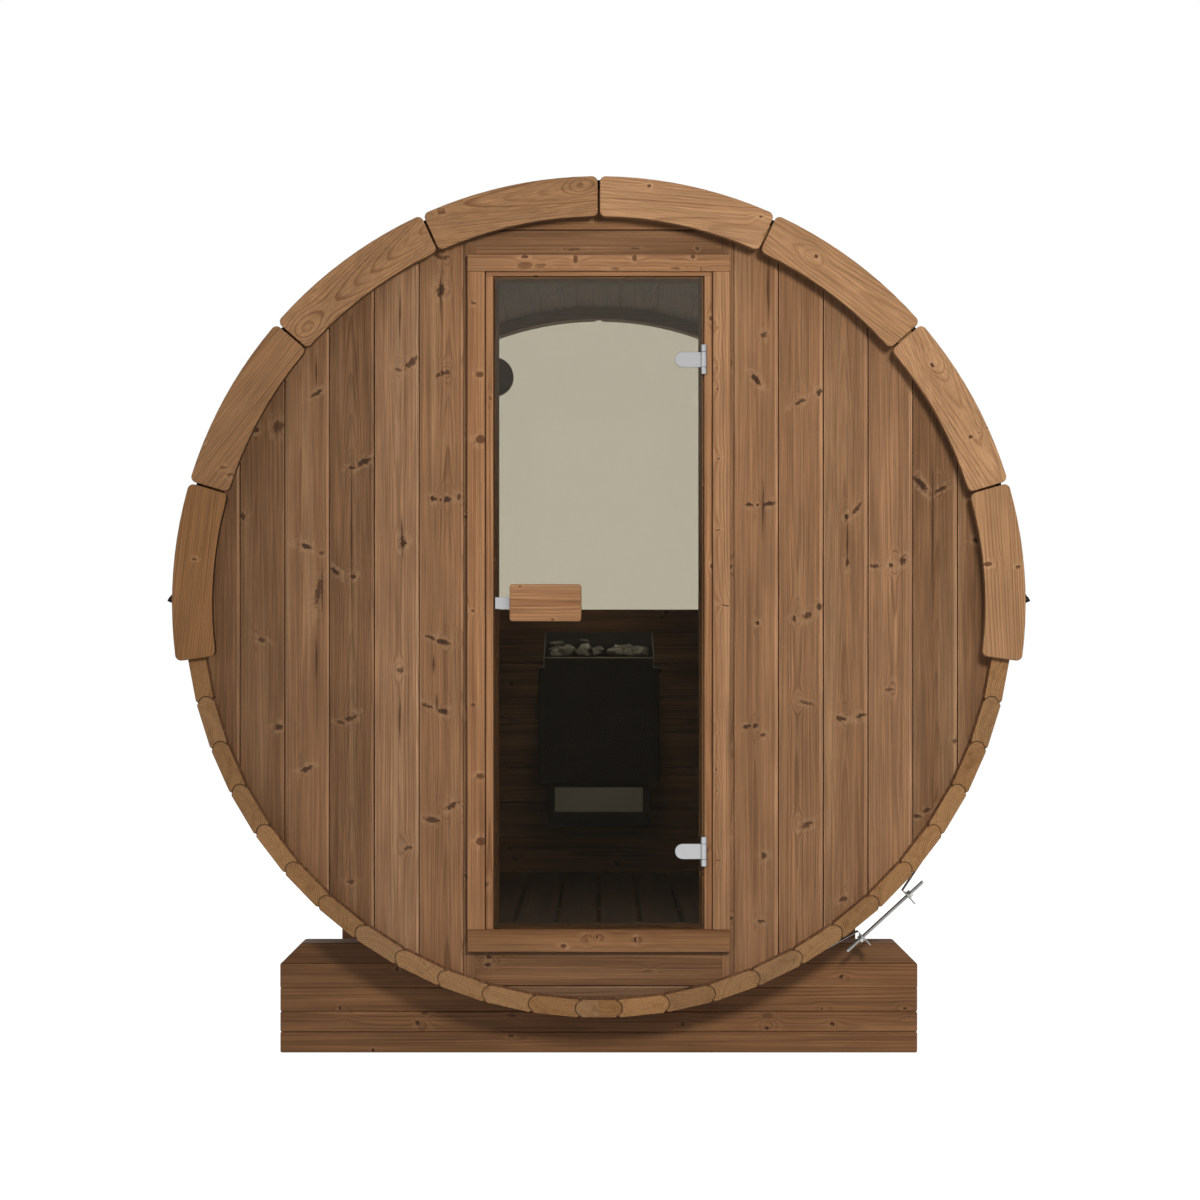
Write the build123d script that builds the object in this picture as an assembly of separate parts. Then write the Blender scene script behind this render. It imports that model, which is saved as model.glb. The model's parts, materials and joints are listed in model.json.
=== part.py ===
from build123d import *
import math
import os

# All lengths are in millimetres and all angles in degrees.
# The barrel lies along Y with its front end towards negative Y, and the ground is at Z zero.

# Fits and clearances
fit_gap = 0.3
swing_gap = 5
pin_gap = 0.06
knuckle_gap = 0.5
cut_margin = 6

# Angles are counted from the bottom of the barrel
top_angle = 180
level_angle = 90
full_turn = 360

# Staves
stave_count = 54
stave_thickness = 42
barrel_apothem = 994
barrel_length = 1940
bead_radius = 18.5
bead_height = 11
notch_depth = 4
outer_notch_half = 6
inner_notch_half = 5
croze_depth = 8

# Height of the lowest stave above the ground
ground_clearance = 108

# End walls
wall_recess = 48
wall_thickness = 40
board_pitch = 108.3
groove_wide = 8
groove_narrow = 2
groove_depth = 4
post_width = 28.5
header_corner_height = 78.3
sill_corner_height = 82.3
header_joint_rise = 63
sill_joint_drop = 95

# Door opening, frame and casing
opening_half_width = 255
jamb_width = 43
jamb_nose_width = 18
head_nose_height = 10
jamb_nose_reach = 10
frame_depth_below = 43
frame_depth_above = 43
stop_width = 13
casing_reveal = 20
casing_side_width = 42
casing_top_height = 40
casing_bottom_height = 54
casing_thickness = 20

# Glass door
glass_thickness = 8
leaf_thickness = 5
hinge_from_bottom = 183.5
hinge_from_top = 197.5
hinge_offset = 3.6
hinge_height = 71
knuckle_radius = 7.5
knuckle_height = 37
hinge_reach = 66
hinge_pin_radius = 3
hinge_foot_width = 5
back_disc_radius = 17
back_disc_reach = 42
handle_edge_inset = 36
handle_length = 172
handle_height = 89
handle_rise = 1
handle_thickness = 20
handle_standoff = 30
handle_corner_radius = 7
fixing_radius = 8
fixing_inset = 38
catch_height = 28
catch_thickness = 3
catch_overlap = 22

# Trim rings
ring_overhang = 26.5
ring_width = 96.5
ring_thickness = 28
ring_pieces_each_side = 4
ring_piece_angle = 24.5
ring_gap = 5
ring_corner_radius = 14

# Steel bands and their tension rods
band_thickness = 1.5
band_width = 30
band_inset = 50
tension_angle = 42.5
band_lift_angle = 14
ear_half_spacing = 72
ear_thickness = 3
ear_height = 45
rod_radius = 4
rod_length = 250
rod_height = 19
nut_radius = 7.5
nut_thickness = 7

# Roof covering
roof_butt = 11
roof_lap = 7
roof_courses = 10
ridge_half_angle = 5.5
ridge_thickness = 4
eaves_tip = 32
eaves_tip_height = 9
eaves_low_height = 4
eaves_top_height = 29
eaves_sheet = 5

# Cradles
cradle_half_width = 783
cradle_height = 270
cradle_level_shares = [0, 0.189, 0.374, 0.595, 0.811, 1]
cradle_chamfer = 52
cradle_thickness = 97
cradle_inset = 150

# Rear window
rail_rise = 15
rail_height = 60
arch_width = 33
pane_seat = 14
vent_edge_inset = 110.4
vent_turn = 23.8
vent_hole_radius = 48
vent_flange_radius = 60.5
vent_flange_thickness = 12

# Floor
floor_drop = 15
slat_thickness = 26
slat_width = 95
slat_gap = 12
floor_side_clearance = 6
floor_end_clearance = 5
bearer_thickness = 45
bearer_shares = [-0.4, 0, 0.4]

# Heater on the rear wall
heater_standoff = 30
heater_depth = 260
heater_half_width = 180
heater_floor_gap = 162
heater_base_height = 128
shoulder_rise = 478
front_rim_rise = 507
rear_rim_rise = 584
collar_half_width = 166
collar_wall = 6
basin_rise = 338
heater_base_half_width = 152
heater_base_setback = 14
heater_panel_half_width = 132
heater_panel_rise = 43
heater_panel_height = 73
heater_panel_thickness = 4
stone_front_rise = 500
stone_rear_rise = 540
heater_bracket_half_width = 110
heater_bracket_rise = 238
heater_bracket_height = 180

# Values that follow from those above
axis_height = ground_clearance + barrel_apothem
inner_apothem = barrel_apothem - stave_thickness
middle_radius = barrel_apothem - stave_thickness / 2
stave_pitch = full_turn / stave_count
stave_half_angle = stave_pitch / 2
bead_shift = math.degrees(bead_height / middle_radius)
bead_offset = math.degrees(math.atan((bead_radius - bead_height) / middle_radius))
key_half_angle = stave_half_angle + bead_shift
base_half_angle = stave_half_angle - bead_shift
key_half_width = barrel_apothem * math.tan(math.radians(key_half_angle)) - outer_notch_half
corner_radius = math.hypot(barrel_apothem, key_half_width)
side_stave_count = (stave_count - 2) // 2
front_end = -barrel_length / 2
rear_end = barrel_length / 2
front_wall_front = front_end + wall_recess
front_wall_back = front_wall_front + wall_thickness
rear_wall_front = -front_wall_back
rear_wall_back = -front_wall_front
croze_radius = inner_apothem + croze_depth
wall_radius = croze_radius - fit_gap
frame_half_width = opening_half_width + jamb_width
board_start = frame_half_width + post_width
frame_corner = math.sqrt(wall_radius**2 - frame_half_width**2)
frame_top = axis_height + frame_corner - header_corner_height
frame_bottom = axis_height - frame_corner + sill_corner_height
opening_top = frame_top - frame_depth_above
opening_bottom = frame_bottom + frame_depth_below
opening_height = opening_top - opening_bottom
header_joint_height = frame_top + header_joint_rise
sill_joint_height = frame_bottom - sill_joint_drop
handle_centre_height = axis_height + handle_rise
floor_level = opening_bottom - floor_drop
jamb_front = front_wall_front - jamb_nose_reach
glass_front = jamb_front
glass_back = glass_front + glass_thickness
stop_front = glass_back + swing_gap
casing_front = front_wall_front - casing_thickness
casing_inner_half = opening_half_width + casing_reveal
casing_half_width = casing_inner_half + casing_side_width
casing_inner_top = opening_top + head_nose_height
casing_top = casing_inner_top + casing_top_height
casing_bottom = opening_bottom - casing_bottom_height
glass_half_width = opening_half_width - swing_gap
handle_left = glass_half_width - handle_edge_inset
handle_right = handle_left - handle_length
glass_bottom = opening_bottom + swing_gap
glass_top = opening_top - swing_gap
hinge_axis_x = glass_half_width + hinge_offset
hinge_axis_y = glass_front - knuckle_radius - knuckle_gap
hinge_heights = [glass_bottom + hinge_from_bottom, glass_top - hinge_from_top]
ring_outer_radius = barrel_apothem + ring_overhang
ring_inner_radius = ring_outer_radius - ring_width
band_inner_radius = corner_radius + fit_gap
band_outer_radius = band_inner_radius + band_thickness
roof_inner_radius = band_outer_radius + fit_gap
roof_butt_radius = roof_inner_radius + roof_butt
roof_lap_radius = roof_inner_radius + roof_lap
saddle_radius = corner_radius + fit_gap
arch_inner_radius = inner_apothem - arch_width
pane_radius = arch_inner_radius + pane_seat
pane_front = (rear_wall_front + rear_wall_back - glass_thickness) / 2
pane_back = pane_front + glass_thickness
rail_top = axis_height + rail_rise
rail_bottom = rail_top - rail_height
vent_distance = arch_inner_radius - vent_edge_inset
vent_across = vent_distance * math.sin(math.radians(vent_turn))
vent_above_axis = vent_distance * math.cos(math.radians(vent_turn))
heater_back = rear_wall_front - heater_standoff
heater_front = heater_back - heater_depth
heater_bottom = floor_level + heater_floor_gap
heater_shelf = heater_bottom + heater_base_height
heater_shoulder = heater_bottom + shoulder_rise
heater_front_rim = heater_bottom + front_rim_rise
heater_rear_rim = heater_bottom + rear_rim_rise
basin_floor = heater_bottom + basin_rise
heater_panel_bottom = heater_bottom + heater_panel_rise
stone_front_height = heater_bottom + stone_front_rise
stone_rear_height = heater_bottom + stone_rear_rise
heater_bracket_bottom = heater_bottom + heater_bracket_rise
barrel_axis = Axis((0, 0, axis_height), (0, 1, 0))


def barrel_plane(y):
    return Plane(origin=(0, y, axis_height), x_dir=(1, 0, 0), z_dir=(0, -1, 0))


def along_barrel(sketch, y_low, y_high):
    return extrude(barrel_plane(y_high) * sketch, amount=y_high - y_low)


def on_circle(radius, angle):
    turn = math.radians(angle)
    return (radius * math.sin(turn), -radius * math.cos(turn))


def polygon(points):
    return make_face(Polyline(*points, close=True))


def arc(radius, start, end):
    middle = (start + end) / 2
    return ThreePointArc(on_circle(radius, start), on_circle(radius, middle), on_circle(radius, end))


def sector(inner, outer, start, end):
    return make_face(
        [
            arc(outer, start, end),
            Line(on_circle(outer, end), on_circle(inner, end)),
            arc(inner, end, start),
            Line(on_circle(inner, start), on_circle(outer, start)),
        ]
    )


def disc(radius, y_low, y_high):
    return along_barrel(Circle(radius), y_low, y_high)


def block(x_low, x_high, y_low, y_high, z_low, z_high):
    middle = Pos((x_low + x_high) / 2, (y_low + y_high) / 2, (z_low + z_high) / 2)
    return middle * Box(x_high - x_low, y_high - y_low, z_high - z_low)


def turned(shape, angle):
    return shape.rotate(barrel_axis, -angle)


def mirrored_in_y(shape):
    return mirror(shape, about=Plane.XZ)


def mirrored_in_x(shape):
    return mirror(shape, about=Plane.YZ)


# Bead and cove stave, drawn at the bottom of the barrel
def stave_profile(half_angle, bead_sides, cove_sides):
    slope = math.tan(math.radians(half_angle))

    def edge(distance):
        return distance * slope - fit_gap / 2

    outer = barrel_apothem
    inner = inner_apothem
    right = [
        (edge(outer) - outer_notch_half, -outer),
        (edge(outer - notch_depth), notch_depth - outer),
        (edge(inner + notch_depth), -inner - notch_depth),
        (edge(inner) - inner_notch_half, -inner),
    ]
    left = [(-x, z) for x, z in reversed(right)]
    profile = polygon(right + left)
    for side in bead_sides:
        profile += Pos(*on_circle(middle_radius, side * (half_angle - bead_offset))) * Circle(bead_radius)
    for side in cove_sides:
        cove_centre = on_circle(middle_radius, side * (half_angle + bead_offset))
        profile -= Pos(*cove_centre) * Circle(bead_radius + fit_gap)
    return profile


def stave(half_angle, bead_sides, cove_sides):
    body = along_barrel(stave_profile(half_angle, bead_sides, cove_sides), front_end, rear_end)
    body -= disc(croze_radius, front_wall_front - fit_gap, front_wall_back + fit_gap)
    body -= disc(croze_radius, rear_wall_front - fit_gap, rear_wall_back + fit_gap)
    return body


def side_staves(side, first):
    pattern = stave(stave_half_angle, [side], [-side])
    numbers = range(first, side_stave_count + 1, 2)
    return [turned(pattern, side * (number * stave_pitch - bead_shift)) for number in numbers]


# Boarded end walls
def vertical_groove(x, face, inward):
    points = [
        (x - groove_wide, face),
        (x, face + inward * groove_depth),
        (x + groove_narrow, face),
        (x + groove_narrow, face - inward * cut_margin),
        (x - groove_wide, face - inward * cut_margin),
    ]
    return extrude(polygon(points), amount=axis_height + wall_radius)


def level_groove(z, face, inward):
    points = [
        (face, z + groove_wide),
        (face + inward * groove_depth, z),
        (face, z - groove_narrow),
        (face - inward * cut_margin, z - groove_narrow),
        (face - inward * cut_margin, z + groove_wide),
    ]
    return extrude(Plane.YZ * polygon(points), amount=wall_radius, both=True)


def wall_piece(front, back, x_low, x_high, z_low, z_high):
    return disc(wall_radius, front, back) & block(x_low, x_high, front, back, z_low, z_high)


wall_low = axis_height - croze_radius
wall_high = axis_height + croze_radius


def front_wall_side(side):
    edges = sorted([side * board_start, side * croze_radius])
    panel = wall_piece(front_wall_front, front_wall_back, *edges, wall_low, wall_high)
    x = board_start
    while x < wall_radius - board_pitch / 2:
        panel -= vertical_groove(side * x, front_wall_front, 1)
        panel -= vertical_groove(side * x, front_wall_back, -1)
        x += board_pitch
    return panel


def front_posts():
    low = board_start - post_width
    right = wall_piece(front_wall_front, front_wall_back, low, board_start, wall_low, wall_high)
    return [right, mirrored_in_x(right)]


def front_infill(low, high, joint):
    panel = wall_piece(
        front_wall_front, front_wall_back, -frame_half_width, frame_half_width, low, high
    )
    panel -= level_groove(joint, front_wall_front, 1)
    panel -= level_groove(joint, front_wall_back, -1)
    return panel


# Door frame
def side_jambs():
    nose = opening_half_width + jamb_nose_width
    points = [
        (opening_half_width, jamb_front),
        (nose, jamb_front),
        (nose, front_wall_front),
        (frame_half_width, front_wall_front),
        (frame_half_width, front_wall_back),
        (opening_half_width, front_wall_back),
    ]
    right = Pos(0, 0, opening_bottom) * extrude(polygon(points), amount=opening_height)
    return [right, mirrored_in_x(right)]


def frame_head():
    nose = opening_top + head_nose_height
    nose_half = opening_half_width + jamb_nose_width
    body = block(
        -frame_half_width, frame_half_width, front_wall_front, front_wall_back, opening_top, frame_top
    )
    return body + block(-nose_half, nose_half, jamb_front, front_wall_front, opening_top, nose)


def frame_sill():
    return block(
        -frame_half_width, frame_half_width, front_wall_front, front_wall_back, frame_bottom, opening_bottom
    )


def side_stops():
    low = opening_half_width - stop_width
    right = block(low, opening_half_width, stop_front, front_wall_back, opening_bottom, opening_top)
    return [right, mirrored_in_x(right)]


def cross_stops():
    half = opening_half_width - stop_width
    top = block(-half, half, stop_front, front_wall_back, opening_top - stop_width, opening_top)
    bottom = block(-half, half, stop_front, front_wall_back, opening_bottom, opening_bottom + stop_width)
    return [top, bottom]


def side_casings():
    right = block(
        casing_inner_half, casing_half_width, casing_front, front_wall_front, opening_bottom, casing_inner_top
    )
    return [right, mirrored_in_x(right)]


def cross_casings():
    half = casing_half_width
    top = block(-half, half, casing_front, front_wall_front, casing_inner_top, casing_top)
    bottom = block(-half, half, casing_front, front_wall_front, casing_bottom, opening_bottom)
    return [top, bottom]


# Hinged glass door
def door_pane():
    return block(
        -glass_half_width, glass_half_width, glass_front, glass_back, glass_bottom, glass_top
    )


def upright(radius, low, high):
    centre = Pos(hinge_axis_x, hinge_axis_y, (low + high) / 2)
    return centre * Cylinder(radius, high - low)


def hinge_bracket(height):
    bottom = height - hinge_height / 2
    top = height + hinge_height / 2
    lower_end = height - knuckle_height / 2 - knuckle_gap
    upper_end = height + knuckle_height / 2 + knuckle_gap
    foot_low = hinge_axis_x + knuckle_radius - hinge_foot_width
    foot_high = hinge_axis_x + knuckle_radius
    body = upright(hinge_pin_radius, bottom, top)
    for low, high in [(bottom, lower_end), (upper_end, top)]:
        body += upright(knuckle_radius, low, high)
        body += block(foot_low, foot_high, hinge_axis_y, jamb_front, low, high)
    return body


def hinge_leaf(height):
    low = height - knuckle_height / 2
    high = height + knuckle_height / 2
    round_radius = knuckle_height / 2
    round_x = glass_half_width - hinge_reach + round_radius
    leaf_front = glass_front - leaf_thickness
    plate = block(round_x, glass_half_width, leaf_front, glass_front, low, high)
    across = Plane(origin=(round_x, glass_front, height), x_dir=(1, 0, 0), z_dir=(0, -1, 0))
    plate += extrude(across * Circle(round_radius), amount=leaf_thickness)
    plate += upright(knuckle_radius, low, high)
    plate -= upright(hinge_pin_radius + pin_gap, low, high)
    return plate


def hinge_back_disc(height):
    x = glass_half_width - back_disc_reach
    behind = Plane(origin=(x, glass_back, height), x_dir=(1, 0, 0), z_dir=(0, 1, 0))
    return extrude(behind * Circle(back_disc_radius), amount=leaf_thickness)


def handle(face, outward):
    near = face + outward * handle_standoff
    plate_plane = Plane(
        origin=(-(handle_left + handle_right) / 2, near, handle_centre_height),
        x_dir=(1, 0, 0),
        z_dir=(0, outward, 0),
    )
    outline = RectangleRounded(handle_left - handle_right, handle_height, handle_corner_radius)
    return extrude(plate_plane * outline, amount=handle_thickness)


def handle_fixings(face, outward):
    fixings = []
    for x in [-handle_left + fixing_inset, -handle_right - fixing_inset]:
        start = Plane(origin=(x, face, handle_centre_height), x_dir=(1, 0, 0), z_dir=(0, outward, 0))
        fixings.append(extrude(start * Circle(fixing_radius), amount=handle_standoff))
    return fixings


def catch_plate():
    half = catch_height / 2
    return block(
        -glass_half_width,
        -handle_left + catch_overlap,
        glass_front - catch_thickness,
        glass_front,
        handle_centre_height - half,
        handle_centre_height + half,
    )


# Trim ring on the stave ends
def trim_ring():
    gap_angle = math.degrees(ring_gap / (ring_outer_radius - ring_width / 2))
    pieces = []
    for number in range(-ring_pieces_each_side, ring_pieces_each_side):
        start = top_angle + number * ring_piece_angle + gap_angle / 2
        end = top_angle + (number + 1) * ring_piece_angle - gap_angle / 2
        outline = sector(ring_inner_radius, ring_outer_radius, start, end)
        outline = fillet(outline.vertices(), ring_corner_radius)
        pieces.append(along_barrel(outline, front_end - ring_thickness, front_end))
    return pieces


# Steel bands
def beside_tensioner(out, across):
    turn = math.radians(tension_angle)
    return (
        out * math.sin(turn) + across * math.cos(turn),
        across * math.sin(turn) - out * math.cos(turn),
    )


def straight_end_height(radius):
    lift = math.radians(band_lift_angle)
    return (radius - ear_half_spacing * math.sin(lift)) / math.cos(lift)


ear_base = straight_end_height(band_inner_radius)
rod_distance = ear_base + rod_height


def band_profile():
    lift = math.radians(band_lift_angle)
    profile = sector(
        band_inner_radius,
        band_outer_radius,
        tension_angle + band_lift_angle,
        tension_angle - band_lift_angle + full_turn,
    )
    for side in [-1, 1]:
        inner_start = (band_inner_radius * math.cos(lift), side * band_inner_radius * math.sin(lift))
        outer_start = (band_outer_radius * math.cos(lift), side * band_outer_radius * math.sin(lift))
        outer_end = (straight_end_height(band_outer_radius), side * ear_half_spacing)
        inner_end = (ear_base, side * ear_half_spacing)
        strip = [inner_start, outer_start, outer_end, inner_end]
        profile += polygon([beside_tensioner(*point) for point in strip])
        near = side * ear_half_spacing
        far = side * (ear_half_spacing + ear_thickness)
        tip = ear_base + ear_height
        ear = [(ear_base, near), (ear_base, far), (tip, far), (tip, near)]
        profile += polygon([beside_tensioner(*point) for point in ear])
    return profile


band_front = front_end + band_inset
band_middle = band_front + band_width / 2


def rod_plane(across):
    x, z = beside_tensioner(rod_distance, across)
    turn = math.radians(tension_angle)
    return Plane(
        origin=(x, band_middle, axis_height + z),
        x_dir=(0, 1, 0),
        z_dir=(math.cos(turn), 0, math.sin(turn)),
    )


def rod_round(radius, length):
    return extrude(rod_plane(-length / 2) * Circle(radius), amount=length)


def steel_band():
    band = along_barrel(band_profile(), band_front, band_front + band_width)
    return band - rod_round(rod_radius + fit_gap, rod_length)


def tension_rod():
    rod = rod_round(rod_radius, rod_length)
    nut = RegularPolygon(nut_radius, 6)
    outside = ear_half_spacing + ear_thickness
    rod += extrude(rod_plane(outside) * nut, amount=nut_thickness)
    rod += extrude(rod_plane(-outside - nut_thickness) * nut, amount=nut_thickness)
    return rod


# Roof covering with lapped courses, and the eaves batten under its lower edge
def eaves_points():
    low = (roof_inner_radius - cut_margin, eaves_low_height)
    tip = (roof_inner_radius + eaves_tip, eaves_tip_height)
    top = (roof_inner_radius, eaves_top_height)
    inside = (roof_inner_radius - cut_margin, eaves_top_height)
    return [low, tip, top, inside]


def eaves_batten():
    outline = polygon(eaves_points()) - Circle(roof_inner_radius)
    return along_barrel(outline, front_end, rear_end)


def roof_side():
    start = level_angle + math.degrees(math.asin(eaves_top_height / roof_inner_radius))
    step = (top_angle - start) / roof_courses
    outer = []
    for number in range(roof_courses):
        outer.append(on_circle(roof_butt_radius, start + number * step))
        outer.append(on_circle(roof_lap_radius, start + (number + 1) * step))
    inner_start = on_circle(roof_inner_radius, start)
    inner_end = on_circle(roof_inner_radius, top_angle)
    face = make_face(
        [
            Polyline(inner_start, *outer, inner_end),
            arc(roof_inner_radius, top_angle, start),
        ]
    )
    tip = eaves_points()[1]
    top = eaves_points()[2]
    length = math.hypot(top[0] - tip[0], top[1] - tip[1])
    along = ((top[0] - tip[0]) / length, (top[1] - tip[1]) / length)
    out = (along[1], -along[0])
    over = roof_butt
    near = [(x + out[0] * fit_gap, z + out[1] * fit_gap) for x, z in (tip, top)]
    far = [(x + out[0] * eaves_sheet, z + out[1] * eaves_sheet) for x, z in (tip, top)]
    beyond_near = (near[1][0] + along[0] * fit_gap, near[1][1] + along[1] * fit_gap)
    beyond_far = (far[1][0] + along[0] * over, far[1][1] + along[1] * over)
    sheet = polygon([near[0], far[0], beyond_far, beyond_near]) - Circle(roof_inner_radius)
    return along_barrel(face + sheet, front_end, rear_end)


def ridge_cap():
    low = roof_lap_radius + fit_gap
    outline = sector(
        low, low + ridge_thickness, top_angle - ridge_half_angle, top_angle + ridge_half_angle
    )
    return along_barrel(outline, front_end, rear_end)


# Cradles built from stacked timbers with a saddle cut to the barrel
def cradle_courses(first):
    levels = [share * cradle_height for share in cradle_level_shares]
    top = cradle_height
    shoulder = top - cradle_chamfer
    shelf = cradle_half_width - cradle_chamfer
    outline = [
        (-cradle_half_width, 0),
        (cradle_half_width, 0),
        (cradle_half_width, shoulder),
        (shelf, top),
        (-shelf, top),
        (-cradle_half_width, shoulder),
    ]
    low_outline = polygon([(x, z - axis_height) for x, z in outline])
    front = front_end + cradle_inset
    back = front + cradle_thickness
    stack = along_barrel(low_outline - Circle(saddle_radius), front, back)
    pieces = []
    for number in range(first, len(levels) - 1, 2):
        low = levels[number]
        high = levels[number + 1]
        course = stack & block(-cradle_half_width, cradle_half_width, front, back, low, high)
        pieces += course.solids()
    return pieces


# Rear wall with the half-moon window
def rear_boards():
    panel = wall_piece(
        rear_wall_front, rear_wall_back, -croze_radius, croze_radius, wall_low, rail_bottom
    )
    z = rail_bottom
    while z > wall_low + board_pitch / 2:
        panel -= level_groove(z, rear_wall_front, 1)
        panel -= level_groove(z, rear_wall_back, -1)
        z -= board_pitch
    return panel


def window_rail():
    rail = wall_piece(
        rear_wall_front, rear_wall_back, -croze_radius, croze_radius, rail_bottom, rail_top
    )
    seat = rail_top - pane_seat
    return rail - block(
        -pane_radius - fit_gap, pane_radius + fit_gap, pane_front - fit_gap, pane_back + fit_gap, seat, rail_top
    )


def window_arch():
    ring = wall_piece(
        rear_wall_front, rear_wall_back, -croze_radius, croze_radius, rail_top, wall_high
    )
    ring -= disc(arch_inner_radius, rear_wall_front, rear_wall_back)
    return ring - disc(pane_radius + fit_gap, pane_front - fit_gap, pane_back + fit_gap)


def vent_round(radius, y_low, y_high):
    outline = Pos(-vent_across, vent_above_axis) * Circle(radius)
    return along_barrel(outline, y_low, y_high)


def window_pane():
    seat = rail_top - pane_seat + fit_gap
    pane = disc(pane_radius, pane_front, pane_back)
    pane = pane & block(-pane_radius, pane_radius, pane_front, pane_back, seat, wall_high)
    return pane - vent_round(vent_hole_radius, pane_front, pane_back)


def rear_vent():
    spool = vent_round(vent_hole_radius - fit_gap, pane_front, pane_back)
    spool += vent_round(vent_flange_radius, pane_front - vent_flange_thickness, pane_front)
    return spool + vent_round(vent_flange_radius, pane_back, pane_back + vent_flange_thickness)


# Slatted floor on shaped bearers
slat_bottom = floor_level - slat_thickness
floor_half_width = math.sqrt(inner_apothem**2 - (axis_height - slat_bottom) ** 2) - floor_side_clearance


def floor_slats():
    pitch = slat_width + slat_gap
    count = int((2 * floor_half_width + slat_gap) // pitch)
    first = -(count * pitch - slat_gap) / 2
    front = front_wall_back + floor_end_clearance
    back = rear_wall_front - floor_end_clearance
    slats = []
    for number in range(count):
        low = first + number * pitch
        slats.append(block(low, low + slat_width, front, back, slat_bottom, floor_level))
    return slats


def floor_bearers():
    bearers = []
    for share in bearer_shares:
        front = share * barrel_length - bearer_thickness / 2
        back = front + bearer_thickness
        round_part = disc(inner_apothem - fit_gap, front, back)
        under = block(-floor_half_width, floor_half_width, front, back, 0, slat_bottom)
        bearers.append(round_part & under)
    return bearers


# Wall heater
def heater_body():
    body = block(
        -heater_half_width, heater_half_width, heater_front, heater_back, heater_shelf, heater_shoulder
    )
    base_front = heater_front + heater_base_setback
    body += block(
        -heater_base_half_width,
        heater_base_half_width,
        base_front,
        heater_back,
        heater_bottom,
        heater_shelf,
    )
    side = polygon(
        [
            (heater_front, heater_shoulder),
            (heater_back, heater_shoulder),
            (heater_back, heater_rear_rim),
            (heater_front, heater_front_rim),
        ]
    )
    body += extrude(Plane.YZ * side, amount=collar_half_width, both=True)
    pocket_half = collar_half_width - collar_wall
    return body - block(
        -pocket_half,
        pocket_half,
        heater_front + collar_wall,
        heater_back - collar_wall,
        basin_floor,
        heater_rear_rim + cut_margin,
    )


def heater_stones():
    half = collar_half_width - collar_wall - fit_gap
    front = heater_front + collar_wall + fit_gap
    back = heater_back - collar_wall - fit_gap
    side = polygon(
        [(front, basin_floor), (back, basin_floor), (back, stone_rear_height), (front, stone_front_height)]
    )
    return extrude(Plane.YZ * side, amount=half, both=True)


def heater_panel():
    face = heater_front + heater_base_setback
    return block(
        -heater_panel_half_width,
        heater_panel_half_width,
        face - heater_panel_thickness,
        face,
        heater_panel_bottom,
        heater_panel_bottom + heater_panel_height,
    )


def heater_bracket():
    return block(
        -heater_bracket_half_width,
        heater_bracket_half_width,
        heater_back,
        rear_wall_front,
        heater_bracket_bottom,
        heater_bracket_bottom + heater_bracket_height,
    )


front_ring = trim_ring()
front_band = steel_band()
front_rod = tension_rod()
right_roof = roof_side()
right_batten = eaves_batten()
front_odd_courses = cradle_courses(0)
front_even_courses = cradle_courses(1)

nodes = {
    "base_stave": [stave(base_half_angle, [-1, 1], [])],
    "key_stave": [turned(stave(key_half_angle, [], [-1, 1]), top_angle)],
    "left_staves_odd": side_staves(-1, 1),
    "left_staves_even": side_staves(-1, 2),
    "right_staves_odd": side_staves(1, 1),
    "right_staves_even": side_staves(1, 2),
    "front_wall_left": [front_wall_side(-1)],
    "front_wall_right": [front_wall_side(1)],
    "front_wall_posts": front_posts(),
    "front_wall_header": [front_infill(frame_top, wall_high, header_joint_height)],
    "front_wall_sill": [front_infill(wall_low, frame_bottom, sill_joint_height)],
    "door_frame_sides": side_jambs(),
    "door_frame_head": [frame_head()],
    "door_frame_sill": [frame_sill()],
    "door_side_stops": side_stops(),
    "door_cross_stops": cross_stops(),
    "door_side_casings": side_casings(),
    "door_cross_casings": cross_casings(),
    "hinge_brackets": [hinge_bracket(height) for height in hinge_heights],
    "door_glass": [door_pane()],
    "hinge_leaves": [hinge_leaf(height) for height in hinge_heights],
    "hinge_back_discs": [hinge_back_disc(height) for height in hinge_heights],
    "door_handles": [handle(glass_front, -1), handle(glass_back, 1)],
    "handle_fixings": handle_fixings(glass_front, -1) + handle_fixings(glass_back, 1),
    "door_catch": [catch_plate()],
    "front_trim_ring": front_ring,
    "rear_trim_ring": [mirrored_in_y(piece) for piece in front_ring],
    "barrel_bands": [front_band, mirrored_in_y(front_band)],
    "tension_rods": [front_rod, mirrored_in_y(front_rod)],
    "right_roof": [right_roof],
    "left_roof": [mirrored_in_x(right_roof)],
    "roof_ridge": [ridge_cap()],
    "eaves_battens": [right_batten, mirrored_in_x(right_batten)],
    "front_cradle_odd_timbers": front_odd_courses,
    "front_cradle_even_timbers": front_even_courses,
    "rear_cradle_odd_timbers": [mirrored_in_y(piece) for piece in front_odd_courses],
    "rear_cradle_even_timbers": [mirrored_in_y(piece) for piece in front_even_courses],
    "rear_wall_boards": [rear_boards()],
    "rear_window_rail": [window_rail()],
    "rear_window_arch": [window_arch()],
    "rear_window_glass": [window_pane()],
    "rear_vent": [rear_vent()],
    "floor_slats": floor_slats(),
    "floor_bearers": floor_bearers(),
    "heater_body": [heater_body()],
    "heater_stones": [heater_stones()],
    "heater_panel": [heater_panel()],
    "heater_bracket": [heater_bracket()],
}

os.makedirs("parts", exist_ok=True)
for name, pieces in nodes.items():
    solids = [solid for piece in pieces for solid in piece.solids()]
    export_step(Compound(solids), f"parts/{name}.step")
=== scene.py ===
import itertools
import json
import math
import random

import bmesh
import bpy
from mathutils import Matrix, Vector, noise

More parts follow.
